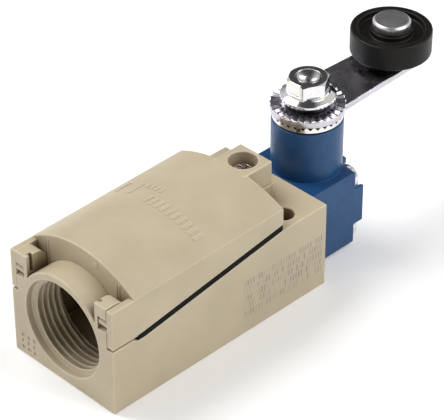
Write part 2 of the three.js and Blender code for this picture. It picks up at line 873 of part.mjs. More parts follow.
function makeHub() {
  const place = [0, shaftY, 0];
  const peak = leverBottom - seatGap;
  const valley = peak - hubNotchDepth;
  const bore = studRadius + seatGap;
  const hub = toothedRing(bore, hubRadius, hubBottom, valley, peak, serrationTeeth, place);
  add("serrated_hub", hub, zinc);
}

function leverOutline() {
  const lean = Math.asin((leverShaftEnd - leverRollerEnd) / leverRadius);
  const shape = new THREE.Shape();
  shape.absarc(0, rollerY, leverRollerEnd, lean, Math.PI - lean, false);
  shape.absarc(0, shaftY, leverShaftEnd, Math.PI - lean, 2 * Math.PI + lean, false);
  return shape;
}

function makeLever() {
  const place = [0, shaftY, 0];
  const arm = plate(leverOutline(), leverBottom, leverTop, 16);
  const disc = bar("z", serrationOuter, leverBottom, leverTop, place, 2 * serrationTeeth);
  const teeth = toothedRing(
    serrationInner,
    serrationOuter,
    leverBottom + 0.2,
    leverTop + 0.02,
    leverTop + serrationHeight,
    serrationTeeth,
    place,
  );
  const shaftHole = bar("z", studRadius + seatGap, 0, studTop, place);
  const pinHole = bar("z", rollerPinWaist + seatGap, 0, studTop, [0, rollerY, 0]);
  add("lever_arm", cut(join(arm, disc, teeth), shaftHole, pinHole), steel);
}

function makeNutAndWasher() {
  const place = [0, shaftY, 0];
  const bore = studRadius + seatGap;
  const washerBottom = leverTop + seatGap;
  const washerTop = nutFlangeBottom - seatGap;
  add("lock_washer", ring("z", bore, lockWasherRadius, washerBottom, washerTop, place), steel);

  const corner = nutAcrossFlats / 2 / Math.cos(Math.PI / 6);
  const rimTop = nutFlangeBottom + nutFlangeRim;
  const coneTop = rimTop + 0.75;
  const flange = turned(
    "z",
    [
      [0, nutFlangeBottom],
      [nutFlangeRadius, nutFlangeBottom],
      [nutFlangeRadius, rimTop],
      [corner - 0.3, coneTop],
      [0, coneTop],
    ],
    place,
  );
  const hexHeight = nutTop - rimTop;
  const hexagon = new THREE.CylinderGeometry(corner, corner, hexHeight, 6);
  hexagon.rotateY(Math.PI / 6);
  hexagon.translate(0, rimTop + hexHeight / 2, 0);
  const outside = corner + 0.5;
  const chamfer = turned(
    "z",
    [
      [0, rimTop - 1],
      [outside, rimTop - 1],
      [outside, nutTop - nutChamferSlope * (outside - nutChamferStart)],
      [nutChamferStart, nutTop],
      [0, nutTop],
    ],
    place,
  );
  const hex = solid(along("z", hexagon, place)).intersect(chamfer);
  const hole = bar("z", bore, 0, studTop + 1, place);
  const lead = turned(
    "z",
    [
      [0, nutTop - 0.3],
      [studRadius, nutTop - 0.3],
      [studRadius + 0.35, nutTop + 0.1],
      [0, nutTop + 0.1],
    ],
    place,
  );
  add("flange_nut", cut(join(flange, hex), hole, lead), zinc);
}

// ---------------------------------------------------------------- roller

function makeRoller() {
  const place = [0, rollerY, 0];
  const bore = boreRadius(rollerPinRadius);
  const edge = 0.35; // chamfer of the tread
  const rimInner = rollerRadius - rollerRim;
  const lowerWeb = rollerBottom + 0.8;
  const profile = [
    [bore, rollerBottom],
    [rollerHubRadius, rollerBottom],
    [rollerHubRadius, lowerWeb],
    [rimInner, lowerWeb],
    [rimInner, rollerBottom],
    [rollerRadius - edge, rollerBottom],
    [rollerRadius, rollerBottom + edge],
    [rollerRadius, rollerTop - edge],
    [rollerRadius - edge, rollerTop],
    [rimInner, rollerTop],
    [rimInner, rollerWebTop],
    [rollerHubRadius, rollerWebTop],
    [rollerHubRadius, rollerTop],
    [bore, rollerTop],
    [bore, rollerBottom],
  ];
  add("roller", turned("z", profile, place, 36), black);
}

function makeRollerPin() {
  const place = [0, rollerY, 0];
  const headBase = rollerTop + slideClearance;
  const profile = [
    [0, leverBottom - 0.85],
    [rollerPinTailRadius - 0.3, leverBottom - 0.85],
    [rollerPinTailRadius, leverBottom - 0.5],
    [rollerPinTailRadius, leverBottom - seatGap],
    [rollerPinWaist, leverBottom - seatGap],
    [rollerPinWaist, leverTop + seatGap],
    [rollerPinRadius, leverTop + seatGap],
    [rollerPinRadius, headBase],
    [rollerPinHeadRadius, headBase],
    [rollerPinHeadRadius, rollerPinTop - 0.4],
    [rollerPinHeadRadius - 0.35, rollerPinTop],
    [0, rollerPinTop],
  ];
  add("roller_pin", turned("z", profile, place), zinc);
  const bore = rollerPinRadius + seatGap;
  const low = leverTop + seatGap;
  const high = rollerBottom - slideClearance;
  add("roller_spacer", ring("z", bore, rollerPinHeadRadius, low, high, place), steel);
}

// ---------------------------------------------------------------- plunger

function makePlunger() {
  const place = [0, 0, headMiddle];
  const tip = rearWallStart + 0.6;
  const plateTop = shaftY - camRadius - slideClearance;
  const plateBottom = plateTop - plungerPlateThickness;
  const profile = [
    [0, tip],
    [plungerStemRadius - 0.2, tip],
    [plungerStemRadius, tip + 0.2],
    [plungerStemRadius, plateBottom],
    [plungerPlateRadius, plateBottom],
    [plungerPlateRadius, plateTop - 0.5],
    [plungerPlateRadius - 0.5, plateTop],
    [0, plateTop],
  ];
  add("plunger", turned("y", profile, place), steel);

  const pocketStart = caseLength - springPocketDepth;
  const bore = boreRadius(plungerStemRadius);
  const flangeTop = pocketStart + 0.95;
  const guide = [
    [bore, rearWallStart + 1],
    [plungerBoreRadius - seatGap, rearWallStart + 1],
    [plungerBoreRadius - seatGap, pocketStart + seatGap],
    [springPocketRadius - seatGap, pocketStart + seatGap],
    [springPocketRadius - seatGap, flangeTop],
    [bore, flangeTop],
    [bore, rearWallStart + 1],
  ];
  add("plunger_guide", turned("y", guide, place), brass);
  const [springStart, springEnd] = [flangeTop + seatGap, plateBottom - seatGap];
  const spring = coilSpring(springRadius, springWire, springStart, springEnd, 5, headMiddle);
  add("plunger_spring", spring, steel);
}

// ---------------------------------------------------------------- switch block

function makeSwitchBase() {
  const half = switchWidth / 2;
  const bottom = floorThickness + 0.1;
  const shelf = box(-half, half, shelfStart, chamberStart + 1, bottom, shelfTop);
  const tower = box(-half, half, chamberStart, switchEnd, bottom, switchTop);
  const barrierTop = shelfTop + barrierRise;
  const barriers = [-terminalPitch, 0, terminalPitch].map((x) => {
    const [low, high] = [x - barrierThickness / 2, x + barrierThickness / 2];
    return box(low, high, shelfStart, terminalScrewY + 2.4, bottom + 1, barrierTop);
  });
  const chamber = box(
    -chamberHalfWidth,
    chamberHalfWidth,
    chamberFrontInner,
    chamberRearInner,
    shelfTop - 0.3,
    switchTop + 1,
  );
  const cuts = [chamber];
  const stripTop = shelfTop + seatGap + terminalThickness + slideClearance;
  for (const side of [-1, 1]) {
    const slotX = [side * (openContactX - 1.2), side * (closedContactX + 1.2)];
    const [low, high] = [Math.min(...slotX), Math.max(...slotX)];
    cuts.push(box(low, high, chamberStart - 1, chamberFrontInner + 1, shelfTop, stripTop));
    const earX = [side * (chamberHalfWidth + 0.6), side * (half + 1)];
    const [earLow, earHigh] = [Math.min(...earX), Math.max(...earX)];
    cuts.push(box(earLow, earHigh, switchScrewY - 2.6, switchEnd + 1, switchScrewSeat, switchTop + 1));
    const screw = [side * switchScrewX, switchScrewY, 0];
    cuts.push(bar("z", switchFootRadius + 0.15, 0, switchFootTop + 0.1, screw, smallSides));
    cuts.push(bar("z", switchScrewRadius + 0.15, 0, switchTop, screw, smallSides));
  }
  for (const x of terminalPlaces()) {
    const place = [x, terminalScrewY, 0];
    const hole = boreRadius(terminalScrewRadius, seatGap, smallSides);
    cuts.push(bar("z", hole, shelfTop - 3.3, shelfTop + 1, place, smallSides));
  }
  const buttonHole = boreRadius(buttonRadius);
  cuts.push(bar("y", buttonHole, chamberRearInner - 1, switchEnd + 1, [0, 0, headMiddle]));
  add("switch_base", cut(join(shelf, tower, ...barriers), ...cuts), phenolic);

  const lidHalf = chamberHalfWidth + 0.5;
  const lidTop = switchTop + 1.5;
  const lid = box(
    -lidHalf,
    lidHalf,
    chamberStart + 0.1,
    switchEnd - 0.1,
    switchTop + seatGap,
    lidTop,
  );
  add("switch_lid", lid, nylon);
}

const terminalPlaces = () => [-1.5, -0.5, 0.5, 1.5].map((n) => n * terminalPitch);

function makeSwitchMechanism() {
  const bridgeBack = bridgeFront + bridgeThickness;
  const closedFace = bridgeBack + contactStudReach;
  const openFace = bridgeFront - contactStudReach;
  const level = headMiddle;
  const [bridgeBottom, bridgeTop] = [level - bridgeHalfHeight, level + bridgeHalfHeight];
  const bridgeX = [-bridgeHalfLength, bridgeHalfLength];
  const bridge = box(...bridgeX, bridgeFront, bridgeBack, bridgeBottom, bridgeTop);
  const stud = (x, from, to) => bar("y", contactStudRadius, from, to, [x, 0, level], smallSides);
  const studs = [];
  for (const side of [-1, 1]) {
    studs.push(stud(side * closedContactX, bridgeBack - 0.2, closedFace));
    studs.push(stud(side * openContactX, openFace, bridgeFront + 0.2));
  }
  add("contact_bridge", join(bridge, ...studs), brass);

  const tip = rearWallStart + 0.5;
  const button = bar("y", buttonRadius, bridgeBack + seatGap, tip, [0, 0, level], smallSides);
  add("switch_button", button, phenolic);
  const spring = coilSpring(
    contactSpringRadius,
    contactSpringWire,
    chamberFrontInner + seatGap,
    bridgeFront - seatGap,
    5,
    level,
  );
  add("contact_spring", spring, steel);

  // Each terminal is a plate under its screw, a strip into the chamber, a tab and a contact.
  const low = shelfTop + seatGap;
  const high = low + terminalThickness;
  const tabTopHeight = level + 1.2;
  const half = terminalWidth / 2;
  const plateStart = terminalScrewY - 2.9;
  const plateEnd = terminalScrewY + 3;
  const span = (side, from, to) => [side * from, side * to].sort((a, b) => a - b);
  const holeRadius = terminalScrewRadius + 0.2;
  const hole = (x) => bar("z", holeRadius, low - 1, high + 1, [x, terminalScrewY, 0], smallSides);
  for (const side of [-1, 1]) {
    const openX = 0.5 * terminalPitch;
    const openTabBack = openFace - plungerTravel - slideClearance - 0.5;
    const openPlateEnd = plateEnd - 0.8;
    const openPlateX = span(side, openX - half, openX + half);
    const openPlate = box(...openPlateX, plateStart, openPlateEnd, low, high);
    const openStripX = span(side, openContactX - 1, openContactX + 1);
    const openStrip = box(...openStripX, openPlateEnd - 0.5, openTabBack, low, high);
    const openTab = box(...openStripX, openTabBack - 0.8, openTabBack, low, tabTopHeight);
    const openStud = stud(side * openContactX, openTabBack - 0.2, openTabBack + 0.5);
    const open = cut(join(openPlate, openStrip, openTab, openStud), hole(side * openX));
    add(side < 0 ? "terminal_no_1" : "terminal_no_2", open, brass);

    const closedX = 1.5 * terminalPitch;
    const closedTabFront = closedFace + contactGap + 0.6;
    const closedPlateX = span(side, closedX - half, closedX + half);
    const closedPlate = box(...closedPlateX, plateStart, plateEnd, low, high);
    const jog = box(...span(side, closedContactX - 1, closedX), plateEnd - 0.4, plateEnd + 2, low, high);
    const closedStripX = span(side, closedContactX - 1, closedContactX + 1);
    const closedStrip = box(...closedStripX, plateEnd, closedTabFront + 0.8, low, high);
    const closedTab = box(...closedStripX, closedTabFront, closedTabFront + 0.8, low, tabTopHeight);
    const closedStud = stud(side * closedContactX, closedTabFront - 0.6, closedTabFront + 0.2);
    const closed = cut(
      join(closedPlate, jog, closedStrip, closedTab, closedStud),
      hole(side * closedX),
    );
    add(side < 0 ? "terminal_nc_1" : "terminal_nc_2", closed, brass);
  }
}

function makeSwitchScrews() {
  const seat = shelfTop + terminalThickness + 2 * seatGap;
  terminalPlaces().forEach((x, index) => {
    const place = [x, terminalScrewY, 0];
    const screw = panScrew(
      "z",
      terminalScrewRadius,
      terminalScrewHeadRadius,
      terminalScrewHeadHeight,
      seat,
      shelfTop - 3,
      place,
    );
    add(`terminal_screw_${index + 1}`, screw, zinc);
  });
  [-1, 1].forEach((side, index) => {
    const place = [side * switchScrewX, switchScrewY, 0];
    const screw = panScrew(
      "z",
      switchScrewRadius,
      switchScrewHeadRadius,
      switchScrewHeadHeight,
      switchScrewSeat + seatGap,
      floorThickness + 0.5,
      place,
    );
    add(`switch_screw_${index + 1}`, screw, zinc);
  });
}

// ---------------------------------------------------------------- build

makeCase();
makeCoverGasket();
makeCover();
makeCoverScrew();
makeHead();
makeHeadGasket();
makeHeadScrews();
makeBushingAndSeal();
makeShaft();
makeCam();
makeRetainingRing();
makeHub();
makeLever();
makeNutAndWasher();
makeRoller();
makeRollerPin();
makePlunger();
makeSwitchBase();
makeSwitchMechanism();
makeSwitchScrews();

export default limitSwitch;
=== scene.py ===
import json
import math

import bmesh
import bpy
from mathutils import Matrix, Vector


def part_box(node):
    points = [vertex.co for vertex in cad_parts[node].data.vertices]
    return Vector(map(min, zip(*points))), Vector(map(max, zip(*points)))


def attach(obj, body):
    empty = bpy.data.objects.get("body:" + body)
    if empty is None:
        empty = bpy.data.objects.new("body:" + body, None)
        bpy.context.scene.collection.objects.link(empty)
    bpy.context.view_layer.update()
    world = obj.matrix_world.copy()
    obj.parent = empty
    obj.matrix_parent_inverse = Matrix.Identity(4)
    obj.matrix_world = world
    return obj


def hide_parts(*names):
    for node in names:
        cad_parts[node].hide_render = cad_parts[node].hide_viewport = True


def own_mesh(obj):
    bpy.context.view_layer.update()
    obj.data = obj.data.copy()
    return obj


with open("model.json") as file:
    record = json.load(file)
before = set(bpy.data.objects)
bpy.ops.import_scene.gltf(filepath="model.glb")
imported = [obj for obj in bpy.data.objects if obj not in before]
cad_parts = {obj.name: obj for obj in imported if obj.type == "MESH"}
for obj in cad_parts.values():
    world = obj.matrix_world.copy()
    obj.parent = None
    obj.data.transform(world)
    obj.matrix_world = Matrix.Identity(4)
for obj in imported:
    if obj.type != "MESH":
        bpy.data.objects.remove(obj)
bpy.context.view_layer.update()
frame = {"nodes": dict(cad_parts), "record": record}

scene = bpy.context.scene
MM = 0.001

# Sides of turned pieces
ROUND = 96
MEDIUM_ROUND = 64
SMALL_ROUND = 48
FEW_SIDES = 32
LEAST_SIDES = 24

# Mesh building, in millimetres
MERGE = 1e-4  # points closer than this become one
LEAST_ARC = 0.02  # radius left on a corner that is drawn in past its arc
NEARLY_STRAIGHT = 1.54  # half of a corner's angle, above which it gets no arc

# Case, in millimetres
WALL = 1.6
FLOOR_TOP = 2
HOLLOW_END = 44.5
RIM_START, RIM_BOTTOM = 8.6, 14.6  # where the sloping rim under the gasket starts
SHOULDER_HEIGHT = 15.25  # under the cover's arms
LEDGE_HEIGHT = 20  # flat end beside the cover's tab
MOUNTING_X, MOUNTING_Y = 10.5, 50.3
MOUNTING_HOLE = 2.15
TAB_HALF_WIDTH = 4.45

# Conduit entry
CONDUIT_Z = 12.8
THREAD_RADIUS = 10.2
THREAD_DEPTH = 0.75
THREAD_PITCH = 1.41
COLLAR_RADIUS = 12.1

# Cover and its hinge
COVER_FRONT, COVER_END = 5.8, 46.15
COVER_FRONT_WALL = 2.6
ARM_LENGTH = 6.6
ARM_BOTTOM = 15.65
ARM_THICKNESS = 1.55
HINGE_Y, HINGE_Z = 1.2, 20.9
HINGE_PIN = 1.05
POST_INNER, POST_OUTER = 9.7, 12.85
POST_TOP = 24.9

# Head, lever and roller
HEAD_TOP = 18.45
HEAD_END = 72.8  # of its square part
BOSS_RADIUS, BOSS_TOP = 7.5, 30.3
SHAFT = 3
SHAFT_TOP = 30.5
STUD = 2.42
STUD_HOLE = 2.47
DOME_HEIGHT = 1.05  # of the stud's end
TEETH = 30
LEVER_TOP = 33.6
SERRATED_RADIUS = 7.85
LEVER_SHAFT_END, LEVER_ROLLER_END = 6.6, 5.6  # half its width
NUT_HALF_FLATS = 4
NUT_FLANGE = 5.79


# -------------------------------- places taken from the frame


conduit_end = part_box("case")[0].y


def limits(node):
    """The node's lowest and highest corners, in millimetres from the conduit end."""
    shift = Vector((0, conduit_end, 0))
    low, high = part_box(node)
    return (low - shift) / MM, (high - shift) / MM


def middle(node):
    """The middle of the node's box, in millimetres from the conduit end."""
    low, high = limits(node)
    return (low + high) / 2


case_low, case_high = limits("case")
head_low, head_high = limits("head_housing")
half_width = case_high.x
case_length = case_high.y
shaft_y = middle("actuator_shaft").y
roller_y = middle("roller").y
head_middle = middle("plunger").z
shaft_axis = Vector((0, shaft_y, 0))
roller_axis = Vector((0, roller_y, 0))
conduit_axis = Vector((0, 0, CONDUIT_Z))
cover_screw_axis = Vector((0, middle("cover_screw").y, 0))
hinge_axis = Vector((0, HINGE_Y, HINGE_Z))


# -------------------------------- outlines


def rounded(corners, radius, steps=3):
    """A closed outline with arcs at its corners; a corner may bring its own radius third."""
    outline = []
    for i, corner in enumerate(corners):
        here = Vector(corner[:2])
        before = Vector(corners[i - 1][:2]) - here
        after = Vector(corners[(i + 1) % len(corners)][:2]) - here
        own = corner[2] if len(corner) > 2 else radius
        half_turn = before.angle(after) / 2
        if own == 0 or half_turn > NEARLY_STRAIGHT:
            outline.append(here)
            continue
        longest = 0.48 * min(before.length, after.length)
        reach = min(own / math.tan(half_turn), longest)
        own = reach * math.tan(half_turn)
        towards = (before.normalized() + after.normalized()).normalized()
        centre = here + towards * (own / math.sin(half_turn))
        first = here + before.normalized() * reach - centre
        last = here + after.normalized() * reach - centre
        sweep = first.angle_signed(last)
        for step in range(steps + 1):
            turn = Matrix.Rotation(-sweep * step / steps, 2)
            outline.append(centre + turn @ first)
    return outline


def inset(outline, distance):
    """The outline moved inwards, point by point."""
    count = len(outline)
    area = sum(
        outline[i - 1].x * outline[i].y - outline[i].x * outline[i - 1].y for i in range(count)
    )
    way = 1 if area > 0 else -1
    moved = []
    for i, here in enumerate(outline):
        before = (here - outline[i - 1]).normalized()
        after = (outline[(i + 1) % count] - here).normalized()
        normals = [Vector((-edge.y, edge.x)) * way for edge in (before, after)]
        bisector = normals[0] + normals[1]
        moved.append(here + bisector * (distance * 2 / max(bisector.length_squared, 1)))
    return moved


# -------------------------------- solids


def finished(builder):
    """The builder's mesh, without doubled points, faces of no area or loose edges."""
    bmesh.ops.remove_doubles(builder, verts=builder.verts, dist=MERGE)
    bmesh.ops.dissolve_degenerate(builder, edges=builder.edges, dist=MERGE)
    loose = [edge for edge in builder.edges if not edge.link_faces]
    bmesh.ops.delete(builder, geom=loose, context="EDGES")
    bmesh.ops.recalc_face_normals(builder, faces=builder.faces)
    mesh = bpy.data.meshes.new("solid")
    builder.to_mesh(mesh)
    builder.free()
    return mesh


def loft(loops, closed=False):
    """A skin over loops of equally many points, capped at both ends unless it closes on itself."""
    builder = bmesh.new()
    rows = [[builder.verts.new(point) for point in loop] for loop in loops]
    pairs = list(zip(rows, rows[1:]))
    if closed:
        pairs.append((rows[-1], rows[0]))
    count = len(rows[0])
    for low, high in pairs:
        for i in range(count):
            j = (i + 1) % count
            builder.faces.new((low[i], low[j], high[j], high[i]))
    if not closed:
        builder.faces.new(rows[0])
        builder.faces.new(rows[-1])
    return finished(builder)


def placed(axis, a, b, along):
    """A point from its outline's two coordinates and its place along the axis."""
    if axis == "x":
        return Vector((along, a, b))
    if axis == "y":
        return Vector((a, along, b))
    return Vector((a, b, along))


def drawn_in(corners, radius, distance, steps):
    """The outline of some corners moved inwards by distance, with what is left of their arcs."""
    moved = inset([Vector(corner[:2]) for corner in corners], distance)
    outline = []
    for corner, point in zip(corners, moved):
        own = corner[2] if len(corner) > 2 else radius
        outline.append((point.x, point.y, max(own - distance, LEAST_ARC) if own else 0))
    return rounded(outline, 0, steps)


def prism(axis, corners, low, high, edge=0.3, radius=0.0, steps=3):
    """An outline swept along an axis; radius rounds its corners and edge its end rims."""
    loops = []
    for end, way in ((low, 1), (high, -1)):
        rim = []
        for step in range(steps + 1 if edge else 1):
            angle = math.pi / 2 * step / steps
            draw_in = edge * (1 - math.sin(angle)) if edge else 0
            points = drawn_in(corners, radius, draw_in, steps)
            place = end + way * edge * (1 - math.cos(angle))
            rim.append([placed(axis, point.x, point.y, place) for point in points])
        loops.extend(rim if way == 1 else rim[::-1])
    return loft(loops)


def block(low, high, edge=0.3):
    """A box with rounded edges, from its low and high corners."""
    corners = [(low[0], low[1]), (high[0], low[1]), (high[0], high[1]), (low[0], high[1])]
    return prism("z", corners, low[2], high[2], edge, edge)


def turned(axis, profile, centre, sides=ROUND, radius=0.0):
    """A piece turned about an axis, from a closed profile of (radius, height) corners."""
    outline = rounded(profile, radius)
    loops = []
    for side in range(sides):
        angle = 2 * math.pi * side / sides
        across, up = math.cos(angle), math.sin(angle)
        loops.append([centre + placed(axis, p.x * across, p.x * up, p.y) for p in outline])
    return loft(loops, closed=True)


def toothed(profile, lowered, drop, centre):
    """A ring whose corners at the indices in lowered drop between its sharp radial teeth."""
    loops = []
    for row in range(2 * TEETH):
        angle = math.pi * row / TEETH
        across, up = math.cos(angle), math.sin(angle)
        fall = drop * (row % 2)
        loop = []
        for i, (radius, height) in enumerate(profile):
            height -= fall if i in lowered else 0
            loop.append(centre + Vector((radius * across, radius * up, height)))
        loops.append(loop)
    return loft(loops, closed=True)


def screw_thread(axis, centre, base, tip, start, end, pitch, taper, sides):
    """A bar with a helical thread between two radii, base and tip, fading in and out by taper."""
    rows_per_turn = 8
    rows = int((end - start) / pitch * rows_per_turn)
    loops = []
    for side in range(sides):
        angle = 2 * math.pi * side / sides
        across, up = math.cos(angle), math.sin(angle)
        outline = [(0, start)]
        for row in range(rows + 1):
            height = start + (end - start) * row / rows
            phase = (height / pitch + side / sides) % 1
            slopes = 1 - abs(2 * phase - 1)
            ridge = min(1, max(0, 1.6 * slopes - 0.3))  # with a flat crest and root
            fade = min(1, (height - start) / taper, (end - height) / taper)
            outline.append((base + (tip - base) * ridge * fade, height))
        outline.append((0, end))
        loops.append([centre + placed(axis, r * across, r * up, h) for r, h in outline])
    return loft(loops, closed=True)


def combined(operation, body, tools):
    """A mesh joined with others, cut by them, or cut down to what they share."""
    target = bpy.data.objects.new("body", body)
    helpers = [bpy.data.objects.new("tool", tool) for tool in tools]
    for helper in (target, *helpers):
        scene.collection.objects.link(helper)
    for helper in helpers:
        modifier = target.modifiers.new("tool", "BOOLEAN")
        modifier.operation = operation
        modifier.solver = "MANIFOLD"
        modifier.object = helper
    graph = bpy.context.evaluated_depsgraph_get()
    result = bpy.data.meshes.new_from_object(target.evaluated_get(graph))
    for helper in (target, *helpers):
        bpy.data.objects.remove(helper)
    return result


def join(body, *tools):
    return combined("UNION", body, tools)


def cut(body, *tools):
    return combined("DIFFERENCE", body, tools)


def piece(name, mesh, body, material, node, smooth_below=40):
    """Puts a mesh in the frame as a piece that rides on a body and stands for a CAD node."""
    mesh.transform(Matrix.Translation((0, conduit_end, 0)) @ Matrix.Scale(MM, 4))
    mesh.materials.clear()
    mesh.materials.append(material)
    mesh.shade_smooth()
    mesh.set_sharp_from_angle(angle=math.radians(smooth_below))
    mesh.name = name
    obj = bpy.data.objects.new(name, mesh)
    scene.collection.objects.link(obj)
    weighted = obj.modifiers.new("weighted_normals", "WEIGHTED_NORMAL")
    weighted.keep_sharp = True
    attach(obj, body)
    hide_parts(node)
    return obj


# -------------------------------- materials


class Finish:
    """A node material with one Principled shader, built from a few ready steps."""

    def __init__(self, name, metallic, roughness, specular=0.5):
        self.material = bpy.data.materials.new(name)
        self.material.use_nodes = True
        self.nodes = self.material.node_tree.nodes
        self.links = self.material.node_tree.links
        self.shader = self.nodes["Principled BSDF"]
        self.shader.inputs["Metallic"].default_value = metallic
        self.shader.inputs["Roughness"].default_value = roughness
        self.shader.inputs["Specular IOR Level"].default_value = specular
        self.places = self.nodes.new("ShaderNodeTexCoord").outputs["Object"]

    def noise(self, size, detail=3.0, stretch=(1, 1, 1)):
        """Noise whose features are about size millimetres across."""
        mapping = self.nodes.new("ShaderNodeMapping")
        mapping.inputs["Scale"].default_value = stretch
        self.links.new(self.places, mapping.inputs["Vector"])
        noise = self.nodes.new("ShaderNodeTexNoise")
        noise.inputs["Scale"].default_value = 1 / (size * MM)
        noise.inputs["Detail"].default_value = detail
        noise.inputs["Roughness"].default_value = 0.55
        self.links.new(mapping.outputs["Vector"], noise.inputs["Vector"])
        return noise.outputs["Fac"]

    def ramp(self, value, stops):
        """A colour for each value, blended between stops of (position, colour)."""
        ramp = self.nodes.new("ShaderNodeValToRGB")
        elements = ramp.color_ramp.elements
        while len(elements) < len(stops):
            elements.new(0.5)
        for element, (position, color) in zip(elements, stops):
            element.position = position
            element.color = (*color, 1)
        self.links.new(value, ramp.inputs["Fac"])
        return ramp.outputs["Color"]

    def spread(self, value, low, high):
        """A value that wanders between 0 and 1 mapped to low and high."""
        spread = self.nodes.new("ShaderNodeMapRange")
        spread.inputs["From Min"].default_value = 0.3
        spread.inputs["From Max"].default_value = 0.7
        spread.inputs["To Min"].default_value = low
        spread.inputs["To Max"].default_value = high
        self.links.new(value, spread.inputs["Value"])
        return spread.outputs["Result"]

    def mix(self, share, first, second, blend="MIX"):
        """Two colours mixed; each may be a socket or a colour, and share a socket or a number."""
        mix = self.nodes.new("ShaderNodeMix")
        mix.data_type = "RGBA"
        mix.blend_type = blend
        for value, socket in ((share, 0), (first, 6), (second, 7)):
            if isinstance(value, bpy.types.NodeSocket):
                self.links.new(value, mix.inputs[socket])
            elif socket == 0:
                mix.inputs[0].default_value = value
            else:
                mix.inputs[socket].default_value = (*value, 1)
        return mix.outputs[2]

    def arithmetic(self, operation, first, second):
        """The result of a Math node on two inputs, the second a socket or a number."""
        node = self.nodes.new("ShaderNodeMath")
        node.operation = operation
        self.links.new(first, node.inputs[0])
        if isinstance(second, bpy.types.NodeSocket):
            self.links.new(second, node.inputs[1])
        else:
            node.inputs[1].default_value = second
        return node.outputs[0]

    def dashes(self):
        """Rows of short dashes that run up a face across X, 1 on a dash and 0 between them."""
        upright = self.nodes.new("ShaderNodeMapping")
        upright.inputs["Rotation"].default_value = (0, math.radians(90), math.radians(90))
        self.links.new(self.places, upright.inputs["Vector"])
        bricks = self.nodes.new("ShaderNodeTexBrick")
        bricks.offset = 0.37
        bricks.inputs["Scale"].default_value = 1 / MM
        bricks.inputs["Brick Width"].default_value = 0.78
        bricks.inputs["Row Height"].default_value = 1.9
        bricks.inputs["Mortar Size"].default_value = 0.2
        bricks.inputs["Mortar Smooth"].default_value = 0.3
        for name, level in (("Color1", 1), ("Color2", 0), ("Mortar", 0)):
            bricks.inputs[name].default_value = (level, level, level, 1)
        self.links.new(upright.outputs["Vector"], bricks.inputs["Vector"])
        return bricks.outputs["Color"]

    def print_rows(self, low, high):
        """From 0 to 1 where printed dashes stand in the box between two corners, in mm."""
        printed = self.dashes()
        place = self.nodes.new("ShaderNodeSeparateXYZ")
        self.links.new(self.places, place.inputs[0])
        for axis, bottom, top in zip("XYZ", low, high):
            origin = conduit_end if axis == "Y" else 0
            for operation, bound in (("GREATER_THAN", bottom), ("LESS_THAN", top)):
                inside = self.arithmetic(operation, place.outputs[axis], bound * MM + origin)
                printed = self.arithmetic("MULTIPLY", printed, inside)
        return printed

    def bevelled_normal(self, radius):
        """The normal as it would be with edges rounded to radius millimetres."""
        bevel = self.nodes.new("ShaderNodeBevel")
        bevel.samples = 4
        bevel.inputs["Radius"].default_value = radius * MM
        return bevel.outputs["Normal"]

    def edges(self, radius, low, high):
        """From 0 on flat surfaces to 1 along edges tighter than radius mm.

        The cosine between the real and the bevelled normal is high at 0 and low at 1.
        """
        true_normal = self.nodes.new("ShaderNodeNewGeometry").outputs["True Normal"]
        dot = self.nodes.new("ShaderNodeVectorMath")
        dot.operation = "DOT_PRODUCT"
        self.links.new(self.bevelled_normal(radius), dot.inputs[0])
        self.links.new(true_normal, dot.inputs[1])
        mask = self.nodes.new("ShaderNodeMapRange")
        mask.inputs["From Min"].default_value = high
        mask.inputs["From Max"].default_value = low
        self.links.new(dot.outputs["Value"], mask.inputs["Value"])
        return mask.outputs["Result"]

    def painted_shade_mask(self, reach):
        """From 0 in the open to 1 in the piece's own corners and holes, felt within reach mm: an
        ambient occlusion mask for painted shade.
        """
        openness = self.nodes.new("ShaderNodeAmbientOcclusion")
        openness.samples = 8
        openness.only_local = True
        openness.inputs["Distance"].default_value = reach * MM
        mask = self.nodes.new("ShaderNodeMapRange")
        mask.inputs["From Min"].default_value = 0.95
        mask.inputs["From Max"].default_value = 0.25
        self.links.new(openness.outputs["AO"], mask.inputs["Value"])
        return mask.outputs["Result"]

    def color(self, value):
        self.links.new(value, self.shader.inputs["Base Color"])

    def roughness(self, value):
        self.links.new(value, self.shader.inputs["Roughness"])

    def bumps(self, height, distance, edge_radius=0.0):
        """Relief of about distance millimetres, over edges softened by edge_radius."""
        bump = self.nodes.new("ShaderNodeBump")
        bump.inputs["Distance"].default_value = distance * MM
        self.links.new(height, bump.inputs["Height"])
        if edge_radius:
            self.links.new(self.bevelled_normal(edge_radius), bump.inputs["Normal"])
        self.links.new(bump.outputs["Normal"], self.shader.inputs["Normal"])


PRINT_COLOR = (0.30, 0.262, 0.215)
# Painted shade: moulded plastics are multiplied towards this tint in their own corners, holes and
# recesses, as ambient occlusion finds them within this reach.
PAINTED_SHADE_TINT = (0.50, 0.44, 0.36)
PAINTED_SHADE_REACH = 5  # millimetres


def moulded_plastic(name, dark, light, edge_highlight_color, roughness, printed=None):
    """Satin moulded plastic: faint flow clouding, fine grain, a painted highlight along its edges,
    painted shade in its own corners and holes, maybe a print.
    """
    look = Finish(name, 0, roughness)
    clouds = look.ramp(look.noise(9, 4), [(0.3, dark), (0.7, light)])
    if printed:
        clouds = look.mix(look.print_rows(*printed), clouds, PRINT_COLOR)
    # Painted highlight: a lighter colour along the edges.
    painted_edge_highlight = look.mix(look.edges(0.32, 0.92, 0.995), clouds, edge_highlight_color)
    # Painted shade: darker in the piece's own corners and holes.
    painted_shade = look.mix(1.0, painted_edge_highlight, PAINTED_SHADE_TINT, "MULTIPLY")
    look.color(look.mix(look.painted_shade_mask(PAINTED_SHADE_REACH), painted_edge_highlight, painted_shade))
    look.roughness(look.spread(look.noise(0.8), roughness - 0.05, roughness + 0.07))
    look.bumps(look.noise(0.22, 2), 0.012, 0.14)
    return look.material


